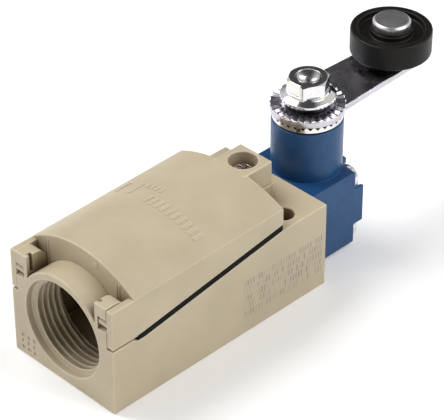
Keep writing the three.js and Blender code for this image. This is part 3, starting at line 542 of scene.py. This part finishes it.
def case_plastic(name, printed=None):
    """The case's and cover's beige; printed gives the corners of a printed face, in mm."""
    # The third colour is the painted highlight along the edges.
    dark, light, edge_highlight_color = (0.470, 0.395, 0.268), (0.530, 0.448, 0.310), (0.760, 0.680, 0.520)
    return moulded_plastic(name, dark, light, edge_highlight_color, 0.42, printed)


def blue_paint():
    """Semi-gloss blue enamel over a casting, with orange peel and a painted highlight along its
    edges.
    """
    look = Finish("blue_paint_finish", 0.0, 0.4, 0.35)
    dark, light = (0.010, 0.056, 0.160), (0.015, 0.076, 0.204)
    clouds = look.ramp(look.noise(5, 3), [(0.3, dark), (0.7, light)])
    # Painted highlight: a paler blue along the edges.
    painted_edge_highlight = look.edges(0.25, 0.88, 0.99)
    look.color(look.mix(painted_edge_highlight, clouds, (0.05, 0.16, 0.36)))
    look.roughness(look.spread(look.noise(1.2), 0.28, 0.45))
    look.bumps(look.noise(0.7, 2), 0.012, 0.2)
    return look.material


def rubber():
    """Dull black rubber with a fine, slightly powdery grain."""
    look = Finish("black_rubber_finish", 0, 0.65, 0.1)
    dark, light = (0.003, 0.0026, 0.002), (0.007, 0.006, 0.005)
    look.color(look.ramp(look.noise(2), [(0.3, dark), (0.7, light)]))
    look.roughness(look.spread(look.noise(0.5), 0.5, 0.75))
    look.bumps(look.noise(0.15, 2), 0.01)
    return look.material


def roller_nylon():
    """Black nylon with turning marks round its axis and a painted highlight along its edges."""
    look = Finish("black_nylon_finish", 0, 0.42, 0.18)
    # Painted highlight: a paler colour along the edges.
    painted_edge_highlight = look.edges(0.35, 0.85, 0.99)
    dark, light = (0.005, 0.0045, 0.004), (0.010, 0.009, 0.008)
    clouds = look.ramp(look.noise(3), [(0.3, dark), (0.7, light)])
    look.color(look.mix(painted_edge_highlight, clouds, (0.05, 0.045, 0.042)))
    look.roughness(look.spread(look.noise(0.6, 3, (1, 1, 6)), 0.3, 0.5))
    look.bumps(look.noise(0.3, 2, (0.6, 0.6, 5)), 0.008, 0.15)
    return look.material


def metal(name, stops, low, high, film_size=4, grain=0.3, relief=0.003, stretch=(1, 1, 1)):
    """Plated or polished metal: a film of slightly varied tint, and fine handling marks."""
    look = Finish(name, 1, (low + high) / 2)
    look.color(look.ramp(look.noise(film_size, 2), stops))
    look.roughness(look.spread(look.noise(grain * 3, 3, stretch), low, high))
    look.bumps(look.noise(grain, 2, stretch), relief, 0.08)
    return look.material


def make_finishes():
    """The finishes by the names of the record's material slots."""
    return {
        "case_plastic": case_plastic("case_plastic_finish"),
        "blue_paint": blue_paint(),
        "black_rubber": rubber(),
        "black_nylon": roller_nylon(),
        "bright_zinc": metal(
            "bright_zinc_finish",
            [(0.3, (0.83, 0.80, 0.70)), (0.45, (0.84, 0.84, 0.84)), (0.6, (0.80, 0.76, 0.82)),
             (0.72, (0.78, 0.83, 0.85))],
            0.04, 0.12, 2.2,
        ),
        "plated_steel": metal(
            "plated_steel_finish",
            [(0.35, (0.56, 0.55, 0.57)), (0.65, (0.68, 0.63, 0.72))],
            0.16, 0.30, 8, 0.5, 0.0007,
        ),
        "polished_steel": metal(
            "polished_steel_finish",
            [(0.35, (0.58, 0.56, 0.57)), (0.65, (0.66, 0.64, 0.66))],
            0.16, 0.26, 3, 0.4, 0.001,
        ),
        "spring_steel": metal(
            "spring_steel_finish", [(0.3, (0.42, 0.41, 0.40)), (0.7, (0.52, 0.51, 0.5))], 0.2, 0.35
        ),
        "dark_steel": metal(
            "dark_steel_finish", [(0.3, (0.03, 0.03, 0.035)), (0.7, (0.06, 0.06, 0.065))], 0.3, 0.5
        ),
        "brass": metal(
            "brass_finish", [(0.3, (0.70, 0.48, 0.16)), (0.7, (0.78, 0.56, 0.22))], 0.2, 0.35
        ),
        "bronze": metal(
            "bronze_finish", [(0.3, (0.30, 0.18, 0.08)), (0.7, (0.42, 0.27, 0.13))], 0.35, 0.55
        ),
        # The third colour given to each moulded plastic is its painted edge highlight.
        "dark_phenolic": moulded_plastic(
            "dark_phenolic_finish", (0.020, 0.011, 0.008), (0.034, 0.02, 0.014),
            (0.09, 0.06, 0.045), 0.4,
        ),
        "ivory_nylon": moulded_plastic(
            "ivory_nylon_finish", (0.62, 0.58, 0.48), (0.7, 0.66, 0.56), (0.8, 0.77, 0.7), 0.45,
        ),
    }


# -------------------------------- case


def rim_height(y):
    """Height of the case's rim under the gasket."""
    slope = (LEDGE_HEIGHT - RIM_BOTTOM) / (COVER_END - RIM_START)
    return RIM_BOTTOM + slope * (y - RIM_START)


def bore(axis, centre, radius, start, end, sides):
    """A plain round hole as a cutter."""
    return turned(axis, [(0, start), (radius, start), (radius, end), (0, end)], centre, sides)


def conduit_bore():
    """The threaded conduit entry as a cutter, with its plain mouth and a helical thread."""
    mouth = [
        (0, -1), (THREAD_RADIUS + 1.4, -1), (THREAD_RADIUS + 0.3, 0.15, 0.1),
        (THREAD_RADIUS + 0.15, 1.3, 0.1), (THREAD_RADIUS - 0.5, 1.8), (0, 1.8),
    ]
    start, end, taper = 0.9, 9.6, 1.2
    core = THREAD_RADIUS - THREAD_DEPTH
    thread = screw_thread(
        "y", conduit_axis, core, THREAD_RADIUS, start, end, THREAD_PITCH, taper, ROUND
    )
    return join(turned("y", mouth, conduit_axis), thread)


def hinge_post(side):
    """One of the two posts that hold the cover's hinge pins."""
    outline = [(0, CONDUIT_Z), (5, CONDUIT_Z), (5, POST_TOP, 2.7), (0, POST_TOP, 0.2)]
    x = sorted((side * POST_OUTER, side * POST_INNER))
    post = prism("x", outline, *x, 0.15, 0.15, 6)
    slot_x = sorted((side * 13.5, side * 10.5))
    seat = bore("x", hinge_axis, 1.16, *slot_x, FEW_SIDES)
    mouth = [
        (-1, 19.1), (0, 19.1), (HINGE_Y, 19.74), (HINGE_Y, 22.06), (0, 22.26), (-1, 22.26),
    ]
    opening = prism("x", mouth, *slot_x, 0)
    notch_x = side * POST_INNER
    notch = block((notch_x - 0.8, 0.8, HINGE_Z), (notch_x + 0.8, 1.7, 26), 0.02)
    return cut(post, seat, opening, notch)


def case_block():
    """The case before it is hollowed: sloping shell, conduit collar, posts and screw boss."""
    side = [
        (0, 0), (case_length, 0), (case_length, LEDGE_HEIGHT), (COVER_END, LEDGE_HEIGHT),
        (RIM_START, RIM_BOTTOM), (ARM_LENGTH, RIM_BOTTOM), (5.6, SHOULDER_HEIGHT),
        (0, SHOULDER_HEIGHT),
    ]
    shell = prism("x", side, -half_width, half_width, 0.25, 0.25)
    collar_end = 7.25
    collar = turned(
        "y", [(0, 0), (COLLAR_RADIUS, 0, 0.3), (COLLAR_RADIUS, collar_end), (0, collar_end)],
        conduit_axis,
    )
    seat = bore("y", conduit_axis, COLLAR_RADIUS - 1.1, 1, RIM_START, ROUND)
    boss = block((-TAB_HALF_WIDTH, 46.25, 18.5), (TAB_HALF_WIDTH, 53.6, 22.8), 0.25)
    return join(shell, collar, seat, hinge_post(-1), hinge_post(1), boss)


def mounting_hole(x):
    """A hole for a mounting screw, chamfered at both ends, as a cutter."""
    low_rim, high_rim = MOUNTING_HOLE + 0.8, MOUNTING_HOLE + 0.45
    profile = [
        (0, -1), (low_rim, -1), (low_rim, 0.01), (MOUNTING_HOLE, 0.4), (MOUNTING_HOLE, 19.75),
        (high_rim, 20.2), (high_rim, 21), (0, 21),
    ]
    return turned("z", profile, Vector((x, MOUNTING_Y, 0)), SMALL_ROUND)


def head_end_holes():
    """The holes in the case's solid end for the head's screws and the plunger, as cutters."""
    holes = []
    for index in range(1, 5):
        place = middle(f"head_screw_{index}")
        holes.append(bore("y", Vector((place.x, 0, place.z)), 1.52, 52.5, 60, LEAST_SIDES))
    plunger = Vector((0, 0, head_middle))
    low, high = limits("plunger_guide")
    stem_hole = middle("plunger_guide").x + 2.2
    pocket = (high.z - low.z) / 2 + 0.06
    holes.append(bore("y", plunger, stem_hole, 43, 60, FEW_SIDES))
    holes.append(bore("y", plunger, pocket, 52.7, 60, FEW_SIDES))
    return holes


def insert_hole():
    """The seat of the cover screw's threaded insert, as a cutter."""
    low, high = limits("cover_screw_insert")
    radius = (high.x - low.x) / 2 + 0.03
    return bore("z", cover_screw_axis, radius, low.z - 0.2, 24, FEW_SIDES)


def end_face_marks():
    """Shallow recesses in the lower left corner of the conduit's face, as cutters."""
    marks = []
    for row, width in enumerate((1.0, 0.5, 1.0)):
        for column in range(3):
            x = -12.4 + 1.7 * column
            z = 1.3 + 1.5 * row
            marks.append(block((x, -1, z), (x + width, 0.15, z + 0.9), 0.05))
    return marks


def switch_foot(index):
    """A foot on the case's floor that the switch block is screwed to."""
    screw = middle(f"switch_screw_{index}")
    profile = [(1.25, 1.5), (2.2, 1.5), (2.2, 5), (1.25, 5)]
    return turned("z", profile, Vector((screw.x, screw.y, 0)), FEW_SIDES)


def make_case(material):
    inner = half_width - WALL
    wiring = block((-inner, RIM_START, FLOOR_TOP), (inner, HOLLOW_END, 32), 0.4)
    holes = [mounting_hole(-MOUNTING_X), mounting_hole(MOUNTING_X), *head_end_holes(), insert_hole()]
    body = cut(case_block(), wiring, conduit_bore(), *holes, *end_face_marks())
    body = join(body, switch_foot(1), switch_foot(2))
    piece("case_moulding", body, "base", material, "case")


# -------------------------------- gasket and cover


def make_cover_gasket(material):
    low, high = limits("cover_gasket")
    near_top, far_top = rim_height(low.y) + 1.52, rim_height(high.y) + 1.52
    outline = [
        (low.y, 14.65), (RIM_START, 14.65), (high.y, rim_height(high.y) + 0.05), (high.y, far_top),
        (RIM_START, 16.12), (low.y, near_top),
    ]
    body = prism("x", outline, -half_width + 0.05, half_width - 0.05, 0.08, 0.08)
    inner = high.x - WALL + 0.15
    hollow = block((-inner, RIM_START, 0), (inner, 44.55, 32), 0.1)
    front = block((-inner, 0, 0), (inner, 7.3, 32), 0.1)
    lower = block((-20, 0, -2), (20, 12, 14.67), 0)
    arch = cut(bore("y", conduit_axis, 12.05, 7.32, 8.58, ROUND), lower)
    opening = bore("y", conduit_axis, 11.08, 0, 10, ROUND)
    body = cut(join(cut(body, hollow, front), arch), opening)
    piece("cover_seal", body, "base", material, "cover_gasket")


def crown_and_arc(y):
    """Height of the dome's crown at y, and the radius of its arc."""
    share = (y - COVER_FRONT) / (COVER_END - COVER_FRONT)
    crown = 29.4 - 0.9 * share
    side_top = 24.6 + 0.6 * share
    rise = crown - side_top
    return crown, (half_width**2 + rise**2) / (2 * rise)


def dome_section(y, shrink, bottom):
    """The cover's outline across its width at y, drawn in by shrink all round."""
    crown, arc = crown_and_arc(y)
    half = half_width - shrink
    corners = [(-half, bottom), (half, bottom)]
    steps = 24
    for step in range(steps + 1):
        x = half - 2 * half * step / steps
        height = crown - arc + math.sqrt((arc - shrink) ** 2 - x**2)
        corners.append((x, height, 0.32 if step in (0, steps) else 0))
    return rounded(corners, 0)


def dome(start, end, shrink, bottom, edge):
    """A solid under the dome's skin, with rounded rims."""
    steps = 4
    angles = [math.pi / 2 * step / steps for step in range(steps + 1)]
    rim = [(edge * (1 - math.cos(angle)), edge * (1 - math.sin(angle))) for angle in angles]
    middle_rows = 10
    stations = [(start + depth, draw_in) for depth, draw_in in rim]
    for row in range(1, middle_rows):
        stations.append((start + (end - start) * row / middle_rows, 0))
    stations.extend((end - depth, draw_in) for depth, draw_in in reversed(rim))
    loops = []
    for y, draw_in in stations:
        outline = inset(dome_section(y, shrink, bottom), draw_in)
        loops.append([Vector((point.x, y, point.y)) for point in outline])
    return loft(loops)


def cover_arm(side):
    """The arm beside a hinge post, with its hinge pin."""
    top = 24.6
    outline = [
        (0.05, ARM_BOTTOM), (ARM_LENGTH, ARM_BOTTOM, 0.05), (ARM_LENGTH, top, 0.05), (0.05, top),
    ]
    x = sorted((side * half_width, side * (half_width - ARM_THICKNESS)))
    arm = prism("x", outline, *x, 0.2, 0.3)
    start, end = sorted((side * (half_width - 0.5), side * (half_width - 3.95)))
    profile = [(0, start), (HINGE_PIN, start, 0.25), (HINGE_PIN, end, 0.25), (0, end)]
    return join(arm, turned("x", profile, hinge_axis, FEW_SIDES))


def crown_height(x, y):
    """Height of the dome's outer skin over a point."""
    crown, arc = crown_and_arc(y)
    return crown - arc + math.sqrt(arc**2 - x**2)


def raised_mark(x, y, width, length):
    """A low bar that follows the dome, from its corner nearest the conduit on the left."""
    low, high = [], []
    for across, along in ((0, 0), (width, 0), (width, length), (0, length)):
        skin = crown_height(x + across, y + along)
        low.append(Vector((x + across, y + along, skin - 0.5)))
        high.append(Vector((x + across, y + along, skin + 0.1)))
    return loft([low, high])


def cover_marks():
    """Plain bars raised on the dome, and ribs and a disc on the cover's front wall."""
    bars = [(-3.6 + 1.55 * column, 25, 0.75, 2.6) for column in range(10)]
    bars += [(-7.6 + 1.3 * column, 29.3, 0.6, 1.5) for column in range(4)]
    bars += [(-12.6, y, 4, 0.35) for y in (26, 30)]
    bars += [(x, 26, 0.35, 4.2) for x in (-12.6, -8.8)]
    marks = [raised_mark(*bar) for bar in bars]
    for x in (-10.6, -9.9, 9.7, 10.4):
        marks.append(block((x, COVER_FRONT - 0.14, 19), (x + 0.25, COVER_FRONT + 1, 26.2), 0.05))
    start = COVER_FRONT - 0.12
    disc = [(0, start), (0.65, start, 0.05), (0.65, 7), (0, 7)]
    marks.append(turned("y", disc, Vector((4, 0, 27.4)), LEAST_SIDES))
    return marks


def make_cover(material):
    shell = dome(COVER_FRONT, COVER_END, 0, 13.6, 0.25)
    hollow = dome(COVER_FRONT + COVER_FRONT_WALL, COVER_END - WALL, WALL, 12.6, 0.02)
    slope_start, slope_end = COVER_FRONT + 1.3, COVER_END + 1
    edge = [
        (0, 0), (slope_end, 0), (slope_end, rim_height(slope_end) + 1.6),
        (slope_start, rim_height(slope_start) + 1.6), (0, ARM_BOTTOM),
    ]
    below = prism("x", edge, -20, 20, 0)
    opening = bore("y", conduit_axis, COLLAR_RADIUS + 0.1, 0, 9.4, ROUND)
    skin = cut(shell, hollow, below, opening)
    tab = block((-TAB_HALF_WIDTH, COVER_END - 1, 23), (TAB_HALF_WIDTH, 53.1, 28.35), 0.3)
    head_hole = turned(
        "z", [(0, 24.3), (3.05, 24.3), (3.05, 28.15), (3.3, 28.4), (3.3, 30), (0, 30)],
        cover_screw_axis,
    )
    shank_hole = bore("z", cover_screw_axis, 1.7, 22, 25, FEW_SIDES)
    body = join(skin, cover_arm(-1), cover_arm(1), tab, *cover_marks())
    body = cut(body, head_hole, shank_hole)
    piece("cover_moulding", body, "cover", material, "cover")


# -------------------------------- screws


def cross_recess(axis, reach, depth, top, centre):
    """A tapered cross for a screwdriver, as a cutter."""
    half_slot = reach * 0.26
    corners = []
    for quarter in range(4):
        turn = Matrix.Rotation(-math.pi / 2 * quarter, 2)
        for point in ((half_slot, half_slot), (half_slot, reach), (-half_slot, reach)):
            corners.append(turn @ Vector(point))
    loops = []
    for height, size in ((top + 0.3, 1.1), (top - depth * 0.7, 0.8), (top - depth, 0.4)):
        loops.append([centre + placed(axis, p.x * size, p.y * size, height) for p in corners])
    return loft(loops)


def make_screw(node, body, axis, shank, head, head_height, material):
    """A pan-head screw with a cross recess and a threaded shank, in the place of a CAD screw."""
    index = "xyz".index(axis)
    low, high = limits(node)
    tip, top = low[index], high[index]
    centre = middle(node)
    centre[index] = 0
    seat = top - head_height
    profile = [
        (0, seat - 0.4), (shank, seat - 0.4), (shank, seat, 0), (head, seat, 0.15),
        (head, seat + head_height * 0.55, 0.5), (head * 0.72, top, 0.5), (0, top),
    ]
    blank = turned(axis, profile, centre, SMALL_ROUND)
    core, end, pitch, taper = shank * 0.8, seat - 0.3, 0.6, 0.5
    thread = screw_thread(axis, centre, core, shank, tip, end, pitch, taper, LEAST_SIDES)
    recess = cross_recess(axis, head * 0.55, head_height * 0.75, top, centre)
    screw = cut(join(blank, thread), recess)
    piece(f"{node}_zinc", screw, body, material, node)


def make_screws(zinc):
    make_screw("cover_screw", "cover_screw", "z", 1.5, 2.75, 1.9, zinc)
    for index in range(1, 5):
        make_screw(f"head_screw_{index}", "base", "y", 1.45, 2.6, 1.9, zinc)
        make_screw(f"terminal_screw_{index}", "base", "z", 1.4, 2.25, 1.7, zinc)
    for index in (1, 2):
        make_screw(f"switch_screw_{index}", "base", "z", 1.2, 1.9, 1.5, zinc)


# -------------------------------- head


def head_cutters():
    """The hollows of the head: cam chamber, stepped shaft bore, screw holes, gasket pocket."""
    half_height = 4.5
    low, high = head_middle - half_height, head_middle + half_height
    cutters = [block((-5.6, 58, low), (5.6, 72.5, high), 0.3)]
    for radius, start, end in ((4.5, 9, 17.7), (5.08, 17.5, 31), (6.3, 28.65, 31), (2.07, 2.57, 9)):
        cutters.append(bore("z", shaft_axis, radius, start, end, MEDIUM_ROUND))
    for index in range(1, 5):
        place = middle(f"head_screw_{index}")
        profile = [(0, 58), (1.6, 58), (1.6, HEAD_END), (2.75, HEAD_END), (2.75, 76), (0, 76)]
        cutters.append(turned("y", profile, Vector((place.x, 0, place.z)), SMALL_ROUND))
    low, high = limits("head_gasket")
    room = 0.1
    corner = (low.x - room, 57, low.z - room)
    cutters.append(block(corner, (high.x + room, 59.3, high.z + room), 0.05))
    return cutters


def make_head(material):
    half, start, bottom, end = head_high.x, head_low.y, head_low.z, head_high.y
    rib = 4.5  # half width of the ribs
    core = block((-half, start, bottom), (half, HEAD_END, HEAD_TOP), 0.35)
    upright = block((-rib, start + 1, bottom), (rib, end, HEAD_TOP), 0.35)
    level = block((-half, start + 1, head_middle - rib), (half, end, head_middle + rib), 0.35)
    boss = turned(
        "z", [(0, 9), (BOSS_RADIUS, 9, 0), (BOSS_RADIUS, BOSS_TOP, 0.3), (0, BOSS_TOP)], shaft_axis
    )
    body = cut(join(core, upright, level, boss), *head_cutters())
    piece("head_casting", body, "base", material, "head_housing")


# -------------------------------- shaft, hub, lever and nut


def make_seal(material):
    low, high = limits("shaft_seal")
    inner, outer, lip_start = 3.07, 6.2, 30.35
    profile = [
        (inner, low.z), (outer, low.z), (outer, lip_start), (high.x, lip_start), (high.x, high.z),
        (inner, high.z),
    ]
    seal = turned("z", profile, shaft_axis, ROUND, 0.05)
    piece("shaft_lip_seal", seal, "base", material, "shaft_seal")


def make_shaft(material):
    low, high = limits("actuator_shaft")
    groove = middle("shaft_retaining_ring").z
    pivot, pivot_end, half_groove = 2, 5.1, 0.35
    profile = [
        (0, low.z), (pivot, low.z, 0.25), (pivot, pivot_end), (SHAFT, pivot_end, 0.2),
        (SHAFT, groove - half_groove, 0.05), (2.5, groove - half_groove),
        (2.5, groove + half_groove), (SHAFT, groove + half_groove, 0.05), (SHAFT, SHAFT_TOP, 0.15),
        (STUD, SHAFT_TOP),
    ]
    steps = 8
    for step in range(steps):
        angle = math.pi / 2 * step / steps
        height = high.z - DOME_HEIGHT + DOME_HEIGHT * math.sin(angle)
        profile.append((STUD * math.cos(angle), height, 0))
    profile.append((0, high.z))
    shaft = turned("z", profile, shaft_axis, SMALL_ROUND)
    pin_hole = bore("x", middle("cam_pin"), 0.85, -5, 5, LEAST_SIDES)
    shaft = cut(shaft, pin_hole)
    piece("shaft_and_stud", shaft, "lever", material, "actuator_shaft")


def make_hub(material):
    low, high = limits("serrated_hub")
    outer = high.x
    profile = [
        (STUD_HOLE, low.z), (outer - 0.15, low.z), (outer, low.z + 0.15), (outer, high.z),
        (STUD_HOLE, high.z),
    ]
    hub = toothed(profile, (3, 4), 0.8, shaft_axis)
    piece("serrated_hub_zinc", hub, "lever", material, "serrated_hub", smooth_below=20)


def lever_outline():
    """The lever's outline: a large and a small half circle, joined by two straight sides."""
    lean = math.asin((LEVER_SHAFT_END - LEVER_ROLLER_END) / (roller_y - shaft_y))
    points = []
    for y, radius, start, end in (
        (roller_y, LEVER_ROLLER_END, lean, math.pi - lean),
        (shaft_y, LEVER_SHAFT_END, math.pi - lean, 2 * math.pi + lean),
    ):
        steps = 32
        for step in range(steps + 1):
            angle = start + (end - start) * step / steps
            points.append(Vector((radius * math.cos(angle), y + radius * math.sin(angle))))
    return points


def make_lever(material):
    low, high = limits("lever_arm")
    arm = prism("z", lever_outline(), low.z, LEVER_TOP, 0.35)
    disc_top = LEVER_TOP - 0.05
    profile = [
        (0, low.z), (SERRATED_RADIUS, low.z, 0.2), (SERRATED_RADIUS, disc_top, 0.1), (0, disc_top),
    ]
    disc = turned("z", profile, shaft_axis, 4 * TEETH)
    inner, outer = 5.6, 7.8
    profile = [
        (inner, 33), (outer, 33), (outer, high.z - 0.08), (outer - 0.15, high.z), (inner, high.z),
    ]
    teeth = toothed(profile, (2, 3, 4), 0.5, shaft_axis)
    stud_hole = bore("z", shaft_axis, STUD_HOLE, 30, 36, SMALL_ROUND)
    pin_hole = bore("z", roller_axis, 2.15, 30, 36, SMALL_ROUND)
    body = cut(join(arm, disc, teeth), stud_hole, pin_hole)
    piece("lever_plate", body, "lever", material, "lever_arm", smooth_below=25)


def make_washer(node, name, inner, outer, rounding, material):
    """A plain ring in the place of a CAD node about the same axis."""
    low, high = limits(node)
    axis = Vector((0, middle(node).y, 0))
    profile = [(inner, low.z), (outer, low.z), (outer, high.z), (inner, high.z)]
    washer = turned("z", profile, axis, SMALL_ROUND, rounding)
    piece(name, washer, "lever", material, node)


def make_nut(material):
    low, high = limits("flange_nut")
    corner = NUT_HALF_FLATS / math.cos(math.pi / 6)
    cone_top = low.z + 1.75
    flange = turned(
        "z",
        [(0, low.z), (NUT_FLANGE, low.z, 0.15), (NUT_FLANGE, low.z + 0.7, 0.25),
         (4.5, low.z + 1.25, 0.3), (corner - 0.3, cone_top), (0, cone_top)],
        shaft_axis,
    )
    hexagon = []
    for side in range(6):
        angle = math.pi / 3 * side
        hexagon.append((corner * math.cos(angle), shaft_y + corner * math.sin(angle)))
    hexagonal = prism("z", hexagon, low.z + 0.7, high.z, 0, 0.25)
    bevel = [(0, low.z), (6, low.z), (6, high.z - 1.1), (3.9, high.z, 0.2), (0, high.z)]
    hexagonal = combined("INTERSECT", hexagonal, [turned("z", bevel, shaft_axis)])
    mouth = 2.8
    hole = [
        (0, 30), (STUD_HOLE, 30), (STUD_HOLE, high.z - 0.25), (mouth, high.z + 0.08), (mouth, 42),
        (0, 42),
    ]
    body = cut(join(flange, hexagonal), turned("z", hole, shaft_axis))
    piece("flange_nut_zinc", body, "lever", material, "flange_nut", smooth_below=30)


# -------------------------------- roller


def make_roller(material):
    low, high = limits("roller")
    hub, rim, outer = 4.4, 7.0, (high.x - low.x) / 2
    web_bottom, web_top = low.z + 0.8, 39.3
    profile = [
        (2.52, low.z), (hub, low.z), (hub, web_bottom), (rim, web_bottom), (rim, low.z),
        (outer, low.z, 0.4), (outer, high.z, 0.4), (rim, high.z, 0.25), (rim - 0.15, web_top, 0.3),
        (4.5, web_top, 0.3), (hub, high.z, 0.2), (2.52, high.z),
    ]
    roller = turned("z", profile, roller_axis, ROUND, 0.1)
    piece("roller_tyre", roller, "roller", material, "roller")


def make_roller_pin(material):
    low, high = limits("roller_pin")
    shank, head, head_bottom = 2.45, 4.0, 40.6
    profile = [
        (0, low.z), (3.0, low.z), (3.2, low.z + 0.35), (3.2, 32.1), (2.1, 32.1), (2.1, 33.65),
        (shank, 33.65), (shank, head_bottom), (head, head_bottom, 0.15), (head, high.z - 0.45, 0.2),
        (3.6, high.z, 0.35), (0, high.z),
    ]
    pin = turned("z", profile, roller_axis)
    piece("roller_pin_polished", pin, "lever", material, "roller_pin")


# -------------------------------- springs


def coil_height(share, turns, wire, length):
    """Place along a spring at a share of its wire, whose end turns lie closed on each other."""
    closed_share = 0.16  # of the wire, at each end
    closed_pitch = 2.1 * wire
    closed = closed_pitch * turns * closed_share
    if share <= closed_share:
        return closed_pitch * turns * share
    if share >= 1 - closed_share:
        return length - closed_pitch * turns * (1 - share)
    return closed + (length - 2 * closed) * (share - closed_share) / (1 - 2 * closed_share)


def coil(node, wire):
    """A compression spring along Y in the place of a CAD spring; wire is its wire's radius."""
    low, high = limits(node)
    centre = (low + high) / 2
    radius = (high.x - low.x) / 2 - wire
    start, length = low.y + wire, high.y - low.y - 2 * wire
    turns, steps_per_turn, wire_sides = 6, 30, 10
    steps = turns * steps_per_turn
    loops = []
    for step in range(steps + 1):
        share = step / steps
        angle = 2 * math.pi * turns * share
        outwards = Vector((math.cos(angle), 0, math.sin(angle)))
        middle_point = Vector((centre.x, start + coil_height(share, turns, wire, length), centre.z))
        loop = []
        for side in range(wire_sides):
            turn = 2 * math.pi * side / wire_sides
            across = outwards * (radius + wire * math.cos(turn))
            loop.append(middle_point + across + Vector((0, wire * math.sin(turn), 0)))
        loops.append(loop)
    return loft(loops)


def make_springs(material):
    for node, wire, joint in (
        ("plunger_spring", 0.3, "plunger_slide"),
        ("contact_spring", 0.22, "switch_button_slide"),
    ):
        spring = piece(f"{node}_coil", coil(node, wire), "base", material, node)
        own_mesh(spring)


# -------------------------------- CAD nodes that stay


def finish_kept_nodes(finishes):
    """Gives every CAD node the finish that its material slot names."""
    for subpart in frame["record"]["subparts"]:
        materials = frame["nodes"][subpart["node"]].data.materials
        materials.clear()
        materials.append(finishes[subpart["material_slot"]])


# -------------------------------- stage, light and camera


def make_stage():
    builder = bmesh.new()
    bmesh.ops.create_grid(builder, x_segments=8, y_segments=8, size=3)
    mesh = bpy.data.meshes.new("floor")
    builder.to_mesh(mesh)
    builder.free()
    floor = bpy.data.objects.new("floor", mesh)
    floor.location.z = case_low.z * MM - 0.00002
    scene.collection.objects.link(floor)
    look = Finish("floor_finish", 0, 0.9, 0.1)
    dark, light = (0.93, 0.93, 0.93), (0.95, 0.95, 0.95)
    look.color(look.ramp(look.noise(200, 1), [(0.3, dark), (0.7, light)]))
    look.shader.inputs["Emission Color"].default_value = (1, 1, 1, 1)
    look.shader.inputs["Emission Strength"].default_value = 0.12
    mesh.materials.append(look.material)


def soft_light(name, place, size, power):
    """A square light, size metres across, that faces the object."""
    target = Vector((0, 0.02, 0.01))
    data = bpy.data.lights.new(name, "AREA")
    data.size = size
    data.energy = power
    light = bpy.data.objects.new(name, data)
    light.location = place
    light.rotation_euler = (target - light.location).to_track_quat("-Z", "Y").to_euler()
    scene.collection.objects.link(light)


def make_studio():
    """White to the camera; to the object, grey at both ends and dark in a band between them."""
    across_band = (0.7, 0.714, 0)
    band_edges, levels = (0.2, 0.5), (0.07, 0.68)
    world = bpy.data.worlds.new("studio")
    world.use_nodes = True
    nodes, links = world.node_tree.nodes, world.node_tree.links
    background = nodes["Background"]
    background.inputs["Strength"].default_value = 1.0
    across = nodes.new("ShaderNodeVectorMath")
    across.operation = "DOT_PRODUCT"
    across.inputs[1].default_value = across_band
    links.new(nodes.new("ShaderNodeTexCoord").outputs["Generated"], across.inputs[0])
    size = nodes.new("ShaderNodeMath")
    size.operation = "ABSOLUTE"
    links.new(across.outputs["Value"], size.inputs[0])
    ramp = nodes.new("ShaderNodeValToRGB")
    for element, place, level in zip(ramp.color_ramp.elements, band_edges, levels):
        element.position = place
        element.color = (level, level, level, 1)
    links.new(size.outputs["Value"], ramp.inputs["Fac"])
    mix = nodes.new("ShaderNodeMix")
    mix.data_type = "RGBA"
    links.new(nodes.new("ShaderNodeLightPath").outputs["Is Camera Ray"], mix.inputs[0])
    links.new(ramp.outputs["Color"], mix.inputs[6])
    mix.inputs[7].default_value = (1, 1, 1, 1)
    links.new(mix.outputs[2], background.inputs["Color"])
    scene.world = world


def make_camera():
    """A long lens above the conduit's end, looking down along the object from its right."""
    azimuth, elevation, roll = math.radians(45.702), math.radians(36.351), math.radians(-0.32)
    data = bpy.data.cameras.new("camera")
    data.sensor_width = 36
    data.lens = 189.9
    data.shift_x, data.shift_y = 0.0242, 0.0246
    data.clip_start = 0.01
    camera = bpy.data.objects.new("camera", data)
    turn = (
        Matrix.Rotation(azimuth, 4, "Z")
        @ Matrix.Rotation(math.pi / 2 - elevation, 4, "X")
        @ Matrix.Rotation(roll, 4, "Z")
    )
    camera.matrix_world = Matrix.Translation((0.27094, -0.25344, 0.29642)) @ turn
    scene.collection.objects.link(camera)
    scene.camera = camera


# -------------------------------- build


finishes = make_finishes()
finish_kept_nodes(finishes)

make_camera()
make_stage()
soft_light("left_softbox", (-0.42, -0.12, 0.66), 0.42, 4.3)
soft_light("right_softbox", (0.50, 0.30, 0.58), 0.45, 2.5)
make_studio()
scene.view_settings.view_transform = "Standard"

printed_face = ((14.2, 35, 3.5), (15, 57.5, 13))
make_case(case_plastic("printed_case_finish", printed_face))
make_cover_gasket(finishes["black_rubber"])
make_cover(finishes["case_plastic"])
make_screws(finishes["bright_zinc"])
make_head(finishes["blue_paint"])
make_seal(finishes["black_rubber"])
make_shaft(finishes["polished_steel"])
make_hub(finishes["bright_zinc"])
make_lever(finishes["plated_steel"])
make_washer(
    "lock_washer", "lock_washer_dark", STUD_HOLE, 4.6, 0.2, finishes["dark_steel"]
)
make_nut(finishes["bright_zinc"])
make_roller(finishes["black_nylon"])
make_roller_pin(metal(
    "brushed_pin_finish", [(0.35, (0.62, 0.60, 0.61)), (0.65, (0.72, 0.70, 0.72))], 0.28, 0.42,
    3, 0.4, 0.001, (1, 12, 1),
))
make_washer(
    "roller_spacer", "roller_spacer_plated", 2.5, 4, 0.15, finishes["plated_steel"]
)
make_springs(finishes["spring_steel"])
